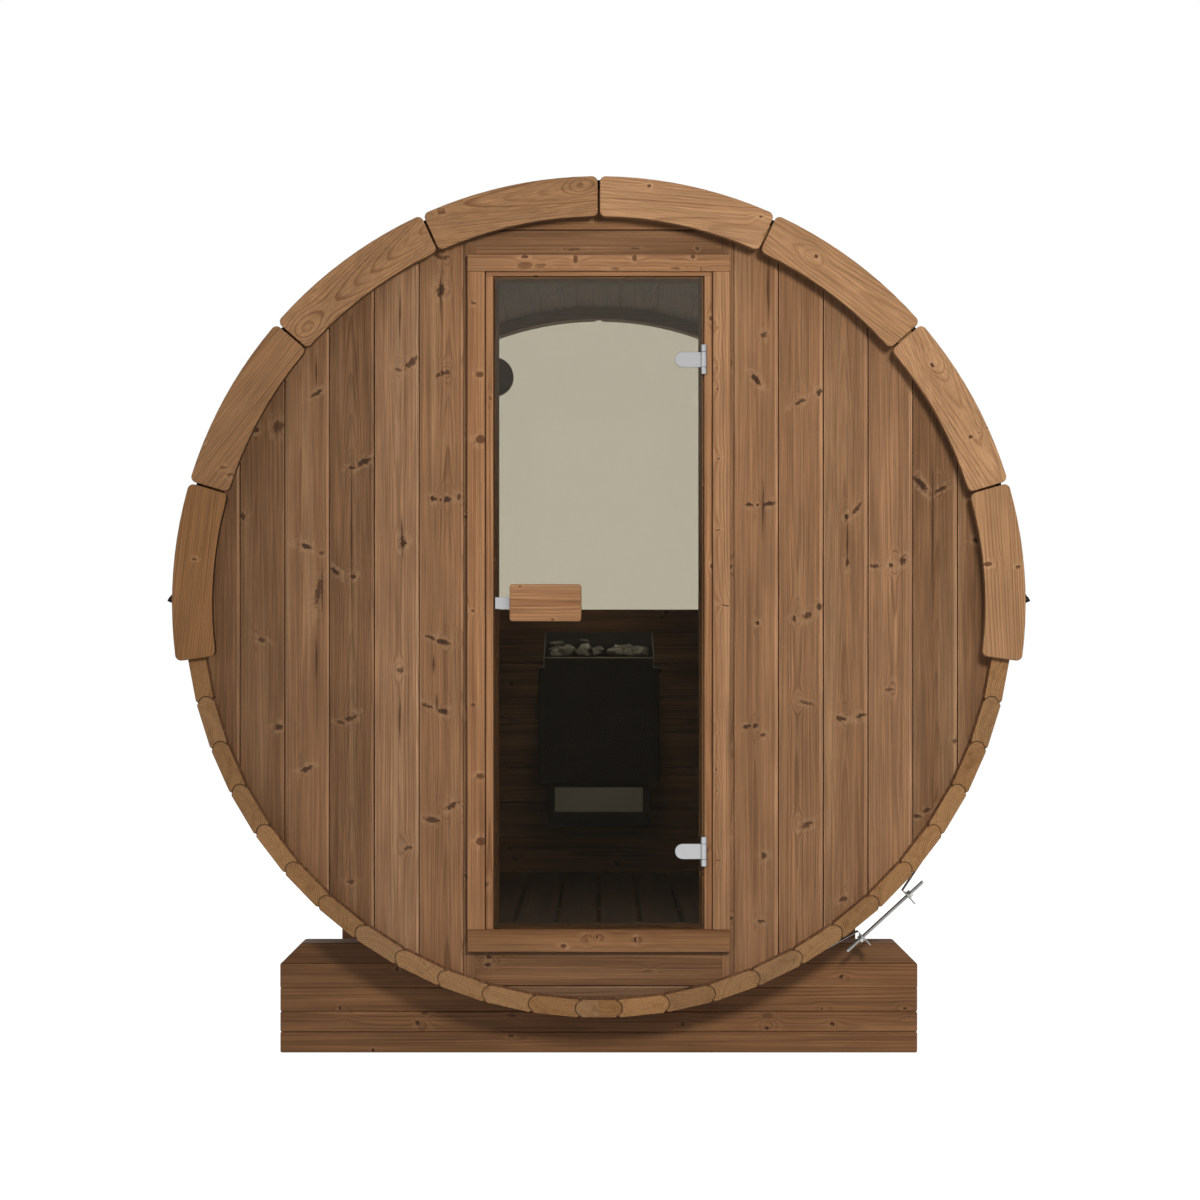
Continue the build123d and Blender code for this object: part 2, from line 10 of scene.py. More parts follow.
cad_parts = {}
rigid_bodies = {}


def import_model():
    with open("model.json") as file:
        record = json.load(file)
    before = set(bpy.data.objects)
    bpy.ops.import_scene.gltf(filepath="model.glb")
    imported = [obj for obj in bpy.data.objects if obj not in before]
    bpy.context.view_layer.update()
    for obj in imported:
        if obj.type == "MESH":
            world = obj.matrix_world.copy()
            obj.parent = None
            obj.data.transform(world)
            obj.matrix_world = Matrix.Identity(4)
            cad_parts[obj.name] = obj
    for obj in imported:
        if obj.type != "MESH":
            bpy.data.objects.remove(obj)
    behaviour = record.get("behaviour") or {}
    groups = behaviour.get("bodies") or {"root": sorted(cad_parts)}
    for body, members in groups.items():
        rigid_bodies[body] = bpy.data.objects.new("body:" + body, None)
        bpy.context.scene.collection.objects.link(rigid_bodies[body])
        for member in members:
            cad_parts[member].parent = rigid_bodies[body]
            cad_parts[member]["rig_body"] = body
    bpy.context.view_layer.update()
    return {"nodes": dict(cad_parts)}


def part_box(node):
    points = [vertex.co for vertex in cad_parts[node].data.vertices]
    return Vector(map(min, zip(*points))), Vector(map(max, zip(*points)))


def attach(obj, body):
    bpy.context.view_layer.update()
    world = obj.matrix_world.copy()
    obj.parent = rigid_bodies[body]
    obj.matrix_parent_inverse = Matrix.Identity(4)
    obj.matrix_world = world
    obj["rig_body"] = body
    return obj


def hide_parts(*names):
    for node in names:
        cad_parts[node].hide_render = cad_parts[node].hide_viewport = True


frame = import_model()
scene = bpy.context.scene
nodes = frame["nodes"]
body_of_node = {n: o["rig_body"] for n, o in nodes.items()}

# Sizes shared with the construction, in metres
AXIS_Z = 1.102
FRONT, REAR = -0.97, 0.97
STAVE_MIDDLE = 0.973
WALL_FRONT, WALL_BACK = -0.922, -0.882
WALL_RADIUS = 0.9597
WALL_FIT, EDGE_GAP = 0.0012, 0.0005
BOARD_START = 0.3265
BOARD_PITCH = 0.1083
FRAME_HALF = 0.298
FRAME_TOP = 1.936
FRAME_BOTTOM = 0.272
HEADER_JOINT = 2.006
SILL_JOINT = 0.177
RAIL_BOTTOM = 1.057

X, Y, Z = Vector((1, 0, 0)), Vector((0, 1, 0)), Vector((0, 0, 1))
AXES = {"X": X, "Y": Y, "Z": Z}
CENTRE = Vector((0, 0, AXIS_Z))


def srgb(r, g, b):
    def lin(c):
        c /= 255
        return c / 12.92 if c <= 0.04045 else ((c + 0.055) / 1.055) ** 2.4
    return (lin(r), lin(g), lin(b), 1)


class Value:
    """An output of a shader node that takes part in plain arithmetic."""

    def __init__(self, graph, socket):
        self.graph = graph
        self.socket = socket


for sign, op in (("add", "ADD"), ("sub", "SUBTRACT"), ("mul", "MULTIPLY"), ("truediv", "DIVIDE"), ("pow", "POWER")):
    setattr(Value, f"__{sign}__", lambda self, other, op=op: self.graph.math(op, self, other))
    setattr(Value, f"__r{sign}__", lambda self, other, op=op: self.graph.math(op, other, self))


class Graph:
    """Shader nodes written as calls."""

    def __init__(self, tree):
        self.tree = tree
        tree.nodes.clear()

    def node(self, kind, inputs, **values):
        n = self.tree.nodes.new(kind)
        for key, value in values.items():
            setattr(n, key, value)
        for key, value in inputs.items():
            if isinstance(value, Value):
                self.tree.links.new(value.socket, n.inputs[key])
            else:
                n.inputs[key].default_value = value
        return n

    def make(self, kind, inputs, out=0, **values):
        return Value(self, self.node(kind, inputs, **values).outputs[out])

    def math(self, op, *terms):
        return self.make("ShaderNodeMath", dict(enumerate(terms)), operation=op)

    def vec(self, op, a, b):
        return self.make("ShaderNodeVectorMath", {0: a, 1: b}, operation=op)

    def xyz(self, v):
        return [Value(self, out) for out in self.node("ShaderNodeSeparateXYZ", {0: v}).outputs]

    def join(self, *parts):
        return self.make("ShaderNodeCombineXYZ", dict(enumerate(parts)))

    def length(self, x, y):
        return self.make("ShaderNodeVectorMath", {0: self.join(x, y, 0.0)}, "Value", operation="LENGTH")

    def noise(self, v, scale, detail=2.0, rough=0.5):
        if isinstance(scale, tuple):
            v, scale = self.vec("MULTIPLY", v, scale), 1.0
        return self.make("ShaderNodeTexNoise", {"Vector": v, "Scale": scale, "Detail": detail, "Roughness": rough})

    def voronoi(self, v, scale, out="Distance"):
        return self.make("ShaderNodeTexVoronoi", {"Vector": v, "Scale": scale}, out)

    def white(self, value):
        return self.make("ShaderNodeTexWhiteNoise", {"W": value}, "Value", noise_dimensions="1D")

    def span(self, v, low, high, to_low=0.0, to_high=1.0):
        """Carries one range over to another in a smooth step."""
        ends = {"Value": v, "From Min": low, "From Max": high, "To Min": to_low, "To Max": to_high}
        return self.make("ShaderNodeMapRange", ends, interpolation_type="SMOOTHSTEP")

    def bell(self, x, width):
        return self.math("EXPONENT", (x / width) ** 2.0 * -1.0)

    def mix(self, factor, a, b, blend="MIX"):
        return self.make("ShaderNodeMix", {0: factor, 6: a, 7: b}, 2, data_type="RGBA", blend_type=blend)

    def shade(self, colour, value):
        return self.mix(1.0, colour, self.join(value, value, value), "MULTIPLY")

    def own_tone(self, colour, tone, warmth, cool):
        """The piece's own tone and warmth; cool is how much blue the warmth takes away."""
        lift = 1.0 + tone
        warm = self.join(lift * (1.0 + warmth * 0.05), lift, lift * (1.0 - warmth * cool))
        return self.mix(1.0, colour, warm, "MULTIPLY")

    def late_wood(self, radius, spacing, seed, start, peak, stop, least):
        """The dark part of each growth ring, as shares of the ring, with a strength of its own from least to 1."""
        phase = radius / spacing
        f = self.math("FRACT", phase)
        vary = self.white(self.math("FLOOR", phase) + seed)
        return self.span(f, start, peak) * self.span(f, peak, stop, 1.0, 0.0) * (least + vary * (1.0 - least))

    def attr(self, name):
        return self.make("ShaderNodeAttribute", {}, "Vector", attribute_name=name)

    def spot(self):
        return self.make("ShaderNodeTexCoord", {}, "Object")

    def moved(self, grain, seed):
        """The grain's coordinates, moved to another place in the noise for each piece."""
        shift = self.make("ShaderNodeVectorMath", {0: (13.1, 7.7, 29.3), "Scale": seed}, operation="SCALE")
        return self.vec("ADD", grain, shift)

    def bump(self, height, distance, strength):
        return self.make("ShaderNodeBump", {"Strength": strength, "Distance": distance, "Height": height})

    def seen(self):
        """1 for the rays that show the background: straight to the camera, through glass or off a gloss."""
        n = self.node("ShaderNodeLightPath", {})
        camera, through, gloss = (
            Value(self, n.outputs[f"Is {kind} Ray"]) for kind in ("Camera", "Transmission", "Glossy")
        )
        return self.math("MAXIMUM", self.math("MAXIMUM", camera, through), gloss)

    def end(self, shader, kind="ShaderNodeOutputMaterial"):
        self.node(kind, {0: shader})

    def principled(self, **values):
        inputs = {key.replace("_", " "): value for key, value in values.items()}
        self.end(self.make("ShaderNodeBsdfPrincipled", inputs))


def new_material(name):
    m = bpy.data.materials.new(name)
    m.use_nodes = True
    return m, Graph(m.node_tree)


# Solid timber: growth rings round a pith line, whorls of branch knots that bend the grain, a dark heart line,
# fibres, pores and soft tone changes. The pieces carry their coordinates on the corners of their faces:
# "grain" (across, through, along) from the pith, "whorl" (across, along, width) from the nearest whorl,
# "mark" (across, along, darkness) in the axes of the nearest knot, "heart" (across, strength) and
# "mood" (seed, tone, warmth). A knot whose darkness is below zero is a ringed one.
KNOT = (44, 25, 16)
KNOT_HOLE = (0.012, 0.007, 0.004, 1)
ROUGH = 0.6


def timber(name, light, late, pale, dark=KNOT, contrast=0.6, spacing=0.0026, bands=0.5, start=0.3, haze=1.0):
    m, g = new_material(name)
    light, late, pale, dark = (srgb(*c) for c in (light, late, pale, dark))
    grain = g.attr("grain")
    wu, wl, ww = g.xyz(g.attr("whorl"))
    mu, ml, strength = g.xyz(g.attr("mark"))
    hu, hs, _ = g.xyz(g.attr("heart"))
    seed, tone, warmth = g.xyz(g.attr("mood"))
    gx, gy, gz = g.xyz(grain)
    place = g.moved(grain, seed)
    # Growth rings, which swell over a whorl, more above than below
    q = g.length(wu, wl - 0.25)
    swell = g.math("EXPONENT", q * q * -0.55)
    slow = g.noise(place, (7.0, 7.0, 0.9))
    quick = g.noise(place, (90.0, 90.0, 5.0), 2.0, 0.6)
    radius = g.length(gx, gy) + gz * 0.0045 + slow * 0.02 + quick * 0.0011 - swell * (ww * 0.3)
    latewood = g.late_wood(radius, spacing, seed * 91.0, start, 0.88, 0.98, 0.25)
    # Fibres, streaks and broad bands along the grain
    fibre = g.noise(place, (900.0, 900.0, 12.0), 2.0, 0.6)
    streak = g.noise(place, (190.0, 190.0, 2.2), 3.0, 0.65)
    fine = g.noise(place, (430.0, 430.0, 3.2), 2.0, 0.6)
    band = g.noise(place, (26.0, 26.0, 0.7), 3.0, 0.55)
    cloud = g.noise(place, (16.0, 16.0, 4.5), 3.0, 0.55)
    pores = g.span(g.noise(place, (800.0, 800.0, 30.0), 1.0), 0.63, 0.74)
    colour = g.mix(latewood * contrast, light, late)
    colour = g.mix(g.span(band, 0.52, 0.72) * bands, colour, late)
    colour = g.mix(g.span(band, 0.48, 0.3) * bands, colour, pale)
    colour = g.shade(colour, g.span(streak, 0.3, 0.7, 1 - 0.2 * haze, 1 + 0.17 * haze))
    colour = g.shade(colour, g.span(fine, 0.3, 0.7, 0.84, 1.14))
    colour = g.shade(colour, g.span(cloud, 0.25, 0.75, 0.88, 1.1))
    colour = g.shade(colour, g.span(fibre, 0.3, 0.7, 0.93, 1.06))
    colour = g.mix(pores * 0.22, colour, late)
    colour = g.own_tone(colour, tone, warmth, 0.07)
    # Knots: a pale halo, a ragged dark mark, and rings with a dark rim in the ringed ones
    size = g.math("ABSOLUTE", strength)
    ringed = g.math("LESS_THAN", strength, 0.0)
    wild = 2.2 - ringed * 1.85
    torn = 1.1 - ringed * 0.8
    ragged = g.noise(place, 160.0, 2.0, 0.6)
    bend_u = (g.noise(place, 95.0, 2.0, 0.6) - 0.5) * wild
    bend_l = (g.noise(g.vec("ADD", place, (5.3, 1.7, 9.1)), 95.0, 2.0, 0.6) - 0.5) * wild
    t = g.length(mu + bend_u, ml + bend_l) * (1.0 + (ragged - 0.5) * torn)
    patchy = g.span(g.noise(place, 70.0), 0.35, 0.65)
    colour = g.mix(g.bell(t - 1.7, 0.8) * size * (patchy * 0.48), colour, pale)
    mottle = g.span(g.noise(place, 210.0, 2.0, 0.6), 0.36, 0.6)
    body = g.mix(mottle, g.mix(0.75, late, dark), dark)
    rings = g.mix(g.math("FRACT", t * 2.6) * 0.5 + 0.25, late, dark)
    hole = g.span(t, 0.1, 0.75, 0.75, 0.0)
    core = g.mix(hole, g.mix(ringed, body, rings), g.mix(ringed, KNOT_HOLE, dark))
    inside = g.span(t, 0.72, 1.12, 1.0, 0.0) * size ** 0.6
    colour = g.mix(inside * 0.92, colour, core)
    colour = g.mix(g.bell(t - 0.95, 0.16) * size * (ringed * 0.85), colour, dark)
    # Heart line: a wandering dark thread in a soft smear
    waver = g.noise(place, (30.0, 30.0, 9.0))
    hx = hu + (waver - 0.5) * 0.006
    heart = g.bell(hx, hs * 0.0022 + 0.00005) * g.math("MINIMUM", hs * 1.3, 0.85)
    colour = g.mix(g.bell(hx, 0.007) * (hs * 0.4), colour, late)
    colour = g.mix(heart, colour, dark)
    height = latewood * 0.35 + fibre * 0.4 - (inside * 0.3 + heart * 0.9)
    gloss = g.span(fibre, 0.2, 0.8, ROUGH - 0.07, ROUGH + 0.1)
    g.principled(Base_Color=colour, Roughness=gloss, Normal=g.bump(height, 0.0005, 0.7), Specular_IOR_Level=0.22)
    return m


# End grain of the staves: the rings cut across, with rays and pores
def end_grain(name, light, late):
    m, g = new_material(name)
    light, late = srgb(*light), srgb(*late)
    grain = g.attr("grain")
    seed, tone, warmth = g.xyz(g.attr("mood"))
    gx, gy, _ = g.xyz(grain)
    place = g.moved(grain, seed)
    radius = g.length(gx, gy) + g.noise(place, 22.0) * 0.006
    latewood = g.late_wood(radius, 0.0046, seed * 57.0, 0.2, 0.9, 1.0, 0.3)
    turn = g.math("ARCTAN2", gy, gx) * 55.0
    rays = g.noise(g.join(turn, radius * 30.0, 0.0), 1.0, 2.0, 0.6)
    specks = g.noise(place, 420.0, 3.0, 0.65)
    stain = g.noise(place, 40.0, 3.0, 0.6)
    colour = g.mix(latewood * 0.85, light, late)
    colour = g.shade(colour, g.span(rays, 0.3, 0.7, 0.9, 1.09))
    colour = g.shade(colour, g.span(specks, 0.3, 0.7, 0.84, 1.12))
    colour = g.mix(g.span(stain, 0.5, 0.75, 0.0, 0.55), colour, late)
    colour = g.own_tone(colour, tone, warmth, 0.09)
    normal = g.bump(latewood + specks, 0.0004, 0.7)
    g.principled(Base_Color=colour, Roughness=0.78, Normal=normal, Specular_IOR_Level=0.2)
    return m


def metal(name, colour, rough, brushed, scale):
    m, g = new_material(name)
    p = g.spot()
    lines = g.noise(p, scale, 3.0, 0.6)
    smear = g.noise(p, 14.0, 3.0)
    tint = g.shade(srgb(*colour), g.span(lines, 0.3, 0.7, 0.94, 1.04))
    gloss = g.span(smear, 0.3, 0.7, rough - 0.05, rough + 0.06) + lines * 0.06
    g.principled(Base_Color=tint, Metallic=1.0, Roughness=gloss, Normal=g.bump(lines, 0.0001, brushed))
    return m


def glass(name, tint):
    m, g = new_material(name)
    p = g.spot()
    # Painted reflection: the panes reflect more towards the top than towards the bottom, with a warm tint
    level = g.span(g.xyz(p)[2], 1.0, 1.9, 0.12, 0.8)
    g.principled(
        Base_Color=tint, Roughness=0.0, IOR=1.5, Transmission_Weight=1.0,
        Specular_Tint=g.join(level, level * 0.95, level * 0.85),
        Normal=g.bump(g.noise(p, 1.7, 1.0), 0.0006, 0.15),
    )
    return m


def stove_paint(name, dark, dusty):
    m, g = new_material(name)
    p = g.spot()
    fine = g.noise(p, 900.0)
    dust = g.noise(p, 9.0, 4.0, 0.6)
    colour = g.mix(g.span(dust, 0.4, 0.8), srgb(*dark), srgb(*dusty))
    gloss = g.span(fine, 0.3, 0.7, 0.52, 0.64)
    g.principled(Base_Color=colour, Roughness=gloss, Normal=g.bump(fine, 0.0001, 0.25))
    return m


def rock():
    m, g = new_material("heater_rock")
    p = g.spot()
    coarse = g.noise(p, 38.0, 4.0, 0.65)
    fine = g.noise(p, 420.0, 3.0, 0.7)
    specks = g.span(g.voronoi(p, 330.0), 0.0, 0.28, 1.0, 0.0)
    tone = g.white(g.xyz(g.attr("mood"))[0] * 51.0)
    colour = g.mix(g.span(coarse, 0.35, 0.7), srgb(120, 119, 112), srgb(172, 170, 162))
    colour = g.mix(specks * 0.35, colour, srgb(190, 188, 182))
    colour = g.shade(colour, g.span(tone, 0.0, 1.0, 0.65, 1.15))
    g.principled(Base_Color=colour, Roughness=0.85, Normal=g.bump(coarse + fine * 0.35, 0.003, 0.7))
    return m


def shingle():
    m, g = new_material("roof_shingle")
    p = g.spot()
    tab = g.xyz(g.attr("mood"))[0]
    grit = g.xyz(g.voronoi(p, 620.0, "Color"))[0]
    lump = g.voronoi(p, 620.0)
    wear = g.noise(p, 5.0, 4.0, 0.6)
    colour = g.mix(g.span(grit, 0.2, 1.0), srgb(22, 22, 24), srgb(70, 70, 72))
    colour = g.shade(colour, g.span(wear, 0.3, 0.75, 0.75, 1.2))
    colour = g.shade(colour, g.span(tab, 0.0, 1.0, 0.78, 1.25))
    g.principled(Base_Color=colour, Roughness=0.92, Normal=g.bump(lump, 0.0012, 0.9), Specular_IOR_Level=0.25)
    return m


stave_end = end_grain("stave_end_grain", (160, 121, 82), (112, 77, 48))
wall_wood = timber("wall_timber", (145, 107, 76), (95, 64, 42), (170, 135, 100), contrast=0.62, bands=0.36)
trim_wood = timber(
    "trim_timber", (177, 135, 97), (118, 76, 49), (195, 155, 116), (70, 38, 22), 0.7, 0.0056, 0.22, 0.48, 0.6
)
planed_wood = timber(
    "planed_timber", (173, 128, 90), (120, 78, 51), (188, 145, 107), (68, 40, 25), 0.7, 0.0042
)
stave_wood = timber("stave_timber", (138, 98, 68), (88, 58, 38), (160, 122, 88), KNOT, 0.75, 0.0036)
cradle_wood = timber("cradle_timber", (122, 86, 57), (80, 52, 33), (144, 105, 71), KNOT, 0.55, 0.0034)
vent_wood = timber("vent_timber", (134, 96, 70), (94, 64, 45), (150, 112, 83))
# A darker metal for the bevelled edges of the hinges: painted shade along their outline
satin_shaded_edge = metal("satin_shaded_edge", (120, 120, 122), 0.45, 0.25, (60.0, 60.0, 900.0))
satin = metal("satin_aluminium", (188, 188, 189), 0.45, 0.25, (60.0, 60.0, 900.0))
steel = metal("band_stainless", (150, 148, 145), 0.34, 0.3, (900.0, 20.0, 900.0))
zinc = metal("rod_zinc", (196, 195, 192), 0.34, 0.3, (200.0, 200.0, 200.0))
heater_steel = metal("heater_brushed", (168, 174, 182), 0.38, 0.5, (8.0, 500.0, 700.0))
bronze = glass("bronze_pane", (0.46, 0.415, 0.318, 1))
clear = glass("clear_pane", (0.97, 0.985, 0.975, 1))
paint = stove_paint("stove_paint", (26, 25, 24), (44, 41, 38))
# A pale paint for the basin's rim: a painted highlight along its edges
rim_paint_highlight = stove_paint("stove_rim_highlight", (150, 146, 136), (178, 174, 164))
stone = rock()
felt = shingle()

# A wood with its material slot
WALL = (wall_wood, "thermo_wood")
STAVE = (stave_wood, "thermo_wood")
PLANED = (planed_wood, "planed_wood")

# Geometry helpers
FIELDS = ("grain", "whorl", "mark", "heart", "mood")
# Coordinates of a corner with no knot near it
FAR = Vector((9, 9, 0))
# A face whose normal is this near an axis faces straight along it
STRAIGHT = 0.97


def layers(bm):
    for name in FIELDS:
        if name not in bm.loops.layers.float_vector:
            bm.loops.layers.float_vector.new(name)


def add_mood(bm, faces, tone=0.0, warmth=0.0, seed=0.0, light_drift=0.0):
    """Adds to the mood on the corners of some faces; light_drift is a change of tone along each metre in x, for
    painted light that grows towards one side.
    """
    layers(bm)
    layer = bm.loops.layers.float_vector["mood"]
    for f in faces:
        for loop in f.loops:
            loop[layer] = loop[layer] + Vector((seed, tone + light_drift * loop.vert.co.x, warmth))


def centre_of(bm):
    return sum((v.co for v in bm.verts), Vector()) / len(bm.verts)


def reach(bm, direction, origin=Vector()):
    found = [(v.co - origin).dot(direction) for v in bm.verts]
    return min(found), max(found)


def islands_of(node):
    """Separate welded copies of the solids in a construction node."""
    src = bmesh.new()
    src.from_mesh(nodes[node].data)
    bmesh.ops.remove_doubles(src, verts=src.verts, dist=1e-5)
    src.verts.index_update()
    src.faces.index_update()
    seen = set()
    found = []
    for start in src.verts:
        if start in seen or not start.link_faces:
            continue
        group = []
        stack = [start]
        seen.add(start)
        while stack:
            v = stack.pop()
            group.append(v)
            near = {e.other_vert(v) for e in v.link_edges} - seen
            seen |= near
            stack.extend(near)
        piece = bmesh.new()
        copy = {v: piece.verts.new(v.co) for v in sorted(group, key=lambda v: v.index)}
        for f in sorted({f for v in group for f in v.link_faces}, key=lambda f: f.index):
            piece.faces.new([copy[v] for v in f.verts])
        bmesh.ops.recalc_face_normals(piece, faces=piece.faces)
        bmesh.ops.dissolve_limit(piece, angle_limit=math.radians(0.4), verts=piece.verts, edges=piece.edges)
        found.append(piece)
    src.free()
    found.sort(key=lambda b: tuple(round(c, 4) for c in centre_of(b)))
    return found


def soften(bm, width, segments=2, angle=28, material=-1):
    edges = [e for e in bm.edges if len(e.link_faces) == 2 and e.calc_face_angle(0) > math.radians(angle)]
    bmesh.ops.bevel(
        bm, geom=edges, offset=width, segments=segments, profile=0.5, affect="EDGES", clamp_overlap=True,
        material=material,
    )


def cut(bm, faces, point, normal):
    edges = {e for f in faces for e in f.edges}
    verts = {v for f in faces for v in f.verts}
    geom = list(verts) + list(edges) + list(faces)
    bmesh.ops.bisect_plane(bm, geom=geom, plane_co=point, plane_no=normal, dist=1e-6)


def loft(rings):
    """A closed solid through cross-sections, each a ring of points."""
    bm = bmesh.new()
    rings = [[bm.verts.new(p) for p in ring] for ring in rings]
    for a, b in zip(rings, rings[1:]):
        for i in range(len(a)):
            j = (i + 1) % len(a)
            bm.faces.new((a[i], a[j], b[j], b[i]))
    bm.faces.new(rings[0][::-1])
    bm.faces.new(rings[-1])
    bmesh.ops.recalc_face_normals(bm, faces=bm.faces)
    return bm


def as_timber(bm, origin, along, across, rng, tone, whorls=(), hearts=(), pith=None, warmth=None, lean=(0, 0)):
    """Cuts the piece between its knots and writes the timber coordinates on its corners.
    A whorl is a list of knots (along, across, half width, half length, tilt, darkness), with the reach of the bent
    grain after it where it is wide; a heart line is (low, high, across). The pith leans across and through."""
    layers(bm)
    through = along.cross(across)

    def level(whorl):
        return sum(k[0] for k in whorl) / len(whorl)
    whorls = sorted((sorted(w, key=lambda k: k[1]) for w in whorls), key=level)
    bounds = [(level(a) + level(b)) / 2 for a, b in zip(whorls, whorls[1:])]
    stops = bounds + [at for low, high, _ in hearts for at in (low, (low + high) / 2, high)]
    for at in stops:
        cut(bm, bm.faces[:], origin + along * at, along)
    splits = []
    for whorl, low, high in zip(whorls, [-math.inf] + bounds, bounds + [math.inf]):
        inner = [(a[1] + b[1]) / 2 for a, b in zip(whorl, whorl[1:])]
        splits.append(inner)
        for at in inner:
            band = [f for f in bm.faces if low < (f.calc_center_median() - origin).dot(along) < high]
            cut(bm, band, origin + across * at, across)
    if pith is None:
        pith = (rng.uniform(-0.03, 0.03), rng.choice((-1, 1)) * rng.uniform(0.012, 0.07))
    offset = rng.uniform(-4, 4)
    mood = Vector((rng.random(), max(-0.6, min(0.45, tone)), rng.gauss(0, 0.7) if warmth is None else warmth))
    layer = [bm.loops.layers.float_vector[name] for name in FIELDS]
    for f in bm.faces:
        centre = f.calc_center_median() - origin
        middle = centre.dot(along)
        knot = line = None
        if whorls:
            index = sum(middle > c for c in bounds)
            whorl = whorls[index]
            knot = whorl[sum(centre.dot(across) > c for c in splits[index])]
            turn = Matrix.Rotation(-math.radians(knot[4]), 2)
            sides = [k[1] + s * k[2] for k in whorl for s in (-1, 1)]
            heart_across = (max(sides) + min(sides)) / 2
            heart_along = level(whorl)
            spread = max(0.012, (max(sides) - min(sides)) / 2 + 0.005)
            swirl = max((k[6] for k in whorl if len(k) > 6), default=0)
            bend = (swirl, swirl, swirl * 1.6) if swirl else (spread, 0.016, min(spread, 0.03))
        for low, high, at in hearts:
            if low < middle < high:
                line = (low + high) / 2, (high - low) / 2, at
        for loop in f.loops:
            p = loop.vert.co - origin
            a, b, c = p.dot(along), p.dot(across), p.dot(through)
            mark = bent = FAR
            heart = (9, 0, 0)
            if knot:
                u, w = turn @ Vector((b - knot[1], a - knot[0]))
                mark = (u / knot[2], w / knot[3], knot[5])
                bent = ((b - heart_across) / bend[0], (a - heart_along) / bend[1], bend[2])
            if line:
                heart = (b - line[2], max(0.0, 1 - abs(a - line[0]) / line[1]), 0)
            grain = (b - pith[0] - lean[0] * a, c - pith[1] - lean[1] * a, a + offset)
            for key, value in zip(layer, (grain, bent, mark, heart, mood)):
                loop[key] = Vector(value)


def wild_whorls(rng, low, high, half, each):
    """Spike knots in whorls, rising outwards from the heart."""
    found = []
    at = low + rng.uniform(0.15, 0.95) * each
    while at < high:
        heart = rng.uniform(-0.4, 0.4) * half
        whorl = []
        for _ in range(rng.choice((1, 1, 2, 2, 3))):
            u = rng.uniform(-0.85, 0.85) * half
            if any(abs(u - k[1]) < 0.012 for k in whorl):
                continue
            tilt = max(-55, min(55, (u - heart) / max(half, 0.01) * 60 + rng.uniform(-12, 12)))
            rise = abs(u - heart) * math.tan(math.radians(abs(tilt))) * 0.6
            long = rng.uniform(0.004, 0.013)
            whorl.append((at + rise, u, long, rng.uniform(0.0035, 0.006), tilt, rng.uniform(0.55, 1.0)))
        if whorl:
            found.append(whorl)
        at += each * rng.uniform(0.4, 1.5)
    return found


def eye_knots(rng, low, high, half, each, small, large):
    """Single ringed knots."""
    found = []
    at = low + rng.uniform(0.1, 0.9) * each
    while at < high:
        size = rng.uniform(small, large)
        stretch = rng.uniform(1.0, 1.5)
        found.append([(at, rng.uniform(-half, half), size, size * stretch, 0, -rng.uniform(0.55, 0.95))])
        at += each * rng.uniform(0.35, 1.6)
    return found


def placed(whorls, middle, along):
    """Whorls given as (x, z, half size in x, half size in z, tilt, darkness) in millimetres and degrees,
    turned to a piece's own axes."""
    found = []
    for whorl in whorls:
        row = []
        for x, z, a, b, tilt, dark in whorl:
            x, z, a, b = x / 1000 - middle.x, z / 1000 - middle.z, a / 1000, b / 1000
            row.append((z, x, a, b, tilt, dark) if along == "Z" else (x, z, b, a, -tilt, dark))
        found.append(row)
    return found


def merge(made):
    out = bmesh.new()
    layers(out)
    for bm in made:
        layers(bm)
        fields = [(bm.loops.layers.float_vector[n], out.loops.layers.float_vector[n]) for n in FIELDS]
        verts = {v: out.verts.new(v.co) for v in bm.verts}
        for f in bm.faces:
            g = out.faces.new([verts[v] for v in f.verts])
            g.smooth = True
            g.material_index = f.material_index
            for a, b in zip(f.loops, g.loops):
                for source, target in fields:
                    b[target] = a[source]
        bm.free()
    return out


def show(name, made, materials, body, replaced, sharp=38, weighted=True):
    mesh = bpy.data.meshes.new(name)
    bm = merge(made)
    bm.to_mesh(mesh)
    bm.free()
    mesh.set_sharp_from_angle(angle=math.radians(sharp))
    for material in materials:
        mesh.materials.append(material)
    obj = bpy.data.objects.new(name, mesh)
    scene.collection.objects.link(obj)
    if weighted:
        even = obj.modifiers.new("even_normals", "WEIGHTED_NORMAL")
        even.keep_sharp = True
    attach(obj, body)
    if replaced:
        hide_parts(*replaced)


def timber_node(
    node, axes, material, slot, width=0.0015, segments=2, whorls=0.33, eyes=None, spread=0.1, own=(), marks=(),
    light_drift=0.0,
):
    """Timbers whose grain runs along the first of the axes, with the second across it. Their knots are whorls at a
    mean distance, or eyes at a mean distance with a smallest and a largest size.
    own gives single pieces of the node, in order, a tone, a warmth and perhaps knots; marks are knots of the whole
    node, taken by the pieces that hold them; light_drift is the change of tone along each metre in x, painted light
    that grows towards one side."""
    made = islands_of(node)
    along, across = AXES[axes[0]], AXES[axes[1]]
    for index, bm in enumerate(made):
        rng = random.Random(f"{node} {index}")
        soften(bm, width, segments)
        middle = centre_of(bm)
        low, high = reach(bm, along, middle)
        half = reach(bm, across, middle)[1]
        found = ()
        if eyes:
            found = eye_knots(rng, low, high, half * 0.75, *eyes)
        elif whorls:
            found = wild_whorls(rng, low, high, half * 0.9, whorls)
        tone, warmth = rng.gauss(0, spread), None
        if index < len(own):
            tone, warmth, *knots = own[index]
            if knots:
                found = placed(*knots, middle, axes[0])
        if marks:
            (left, right), (bottom, top) = reach(bm, X), reach(bm, Z)
            held = [w for w in marks if left < w[0][0] / 1000 < right and bottom < w[0][1] / 1000 < top]
            found = placed(held, middle, axes[0])
        as_timber(bm, middle, along, across, rng, tone, found, warmth=warmth)
        add_mood(bm, bm.faces, light_drift=light_drift)
    show(node + "_timber", made, (material,), body_of_node[node], (node,))


def pane(node, material):
    show(node + "_pane", islands_of(node), (material,), body_of_node[node], (node,), 5, False)


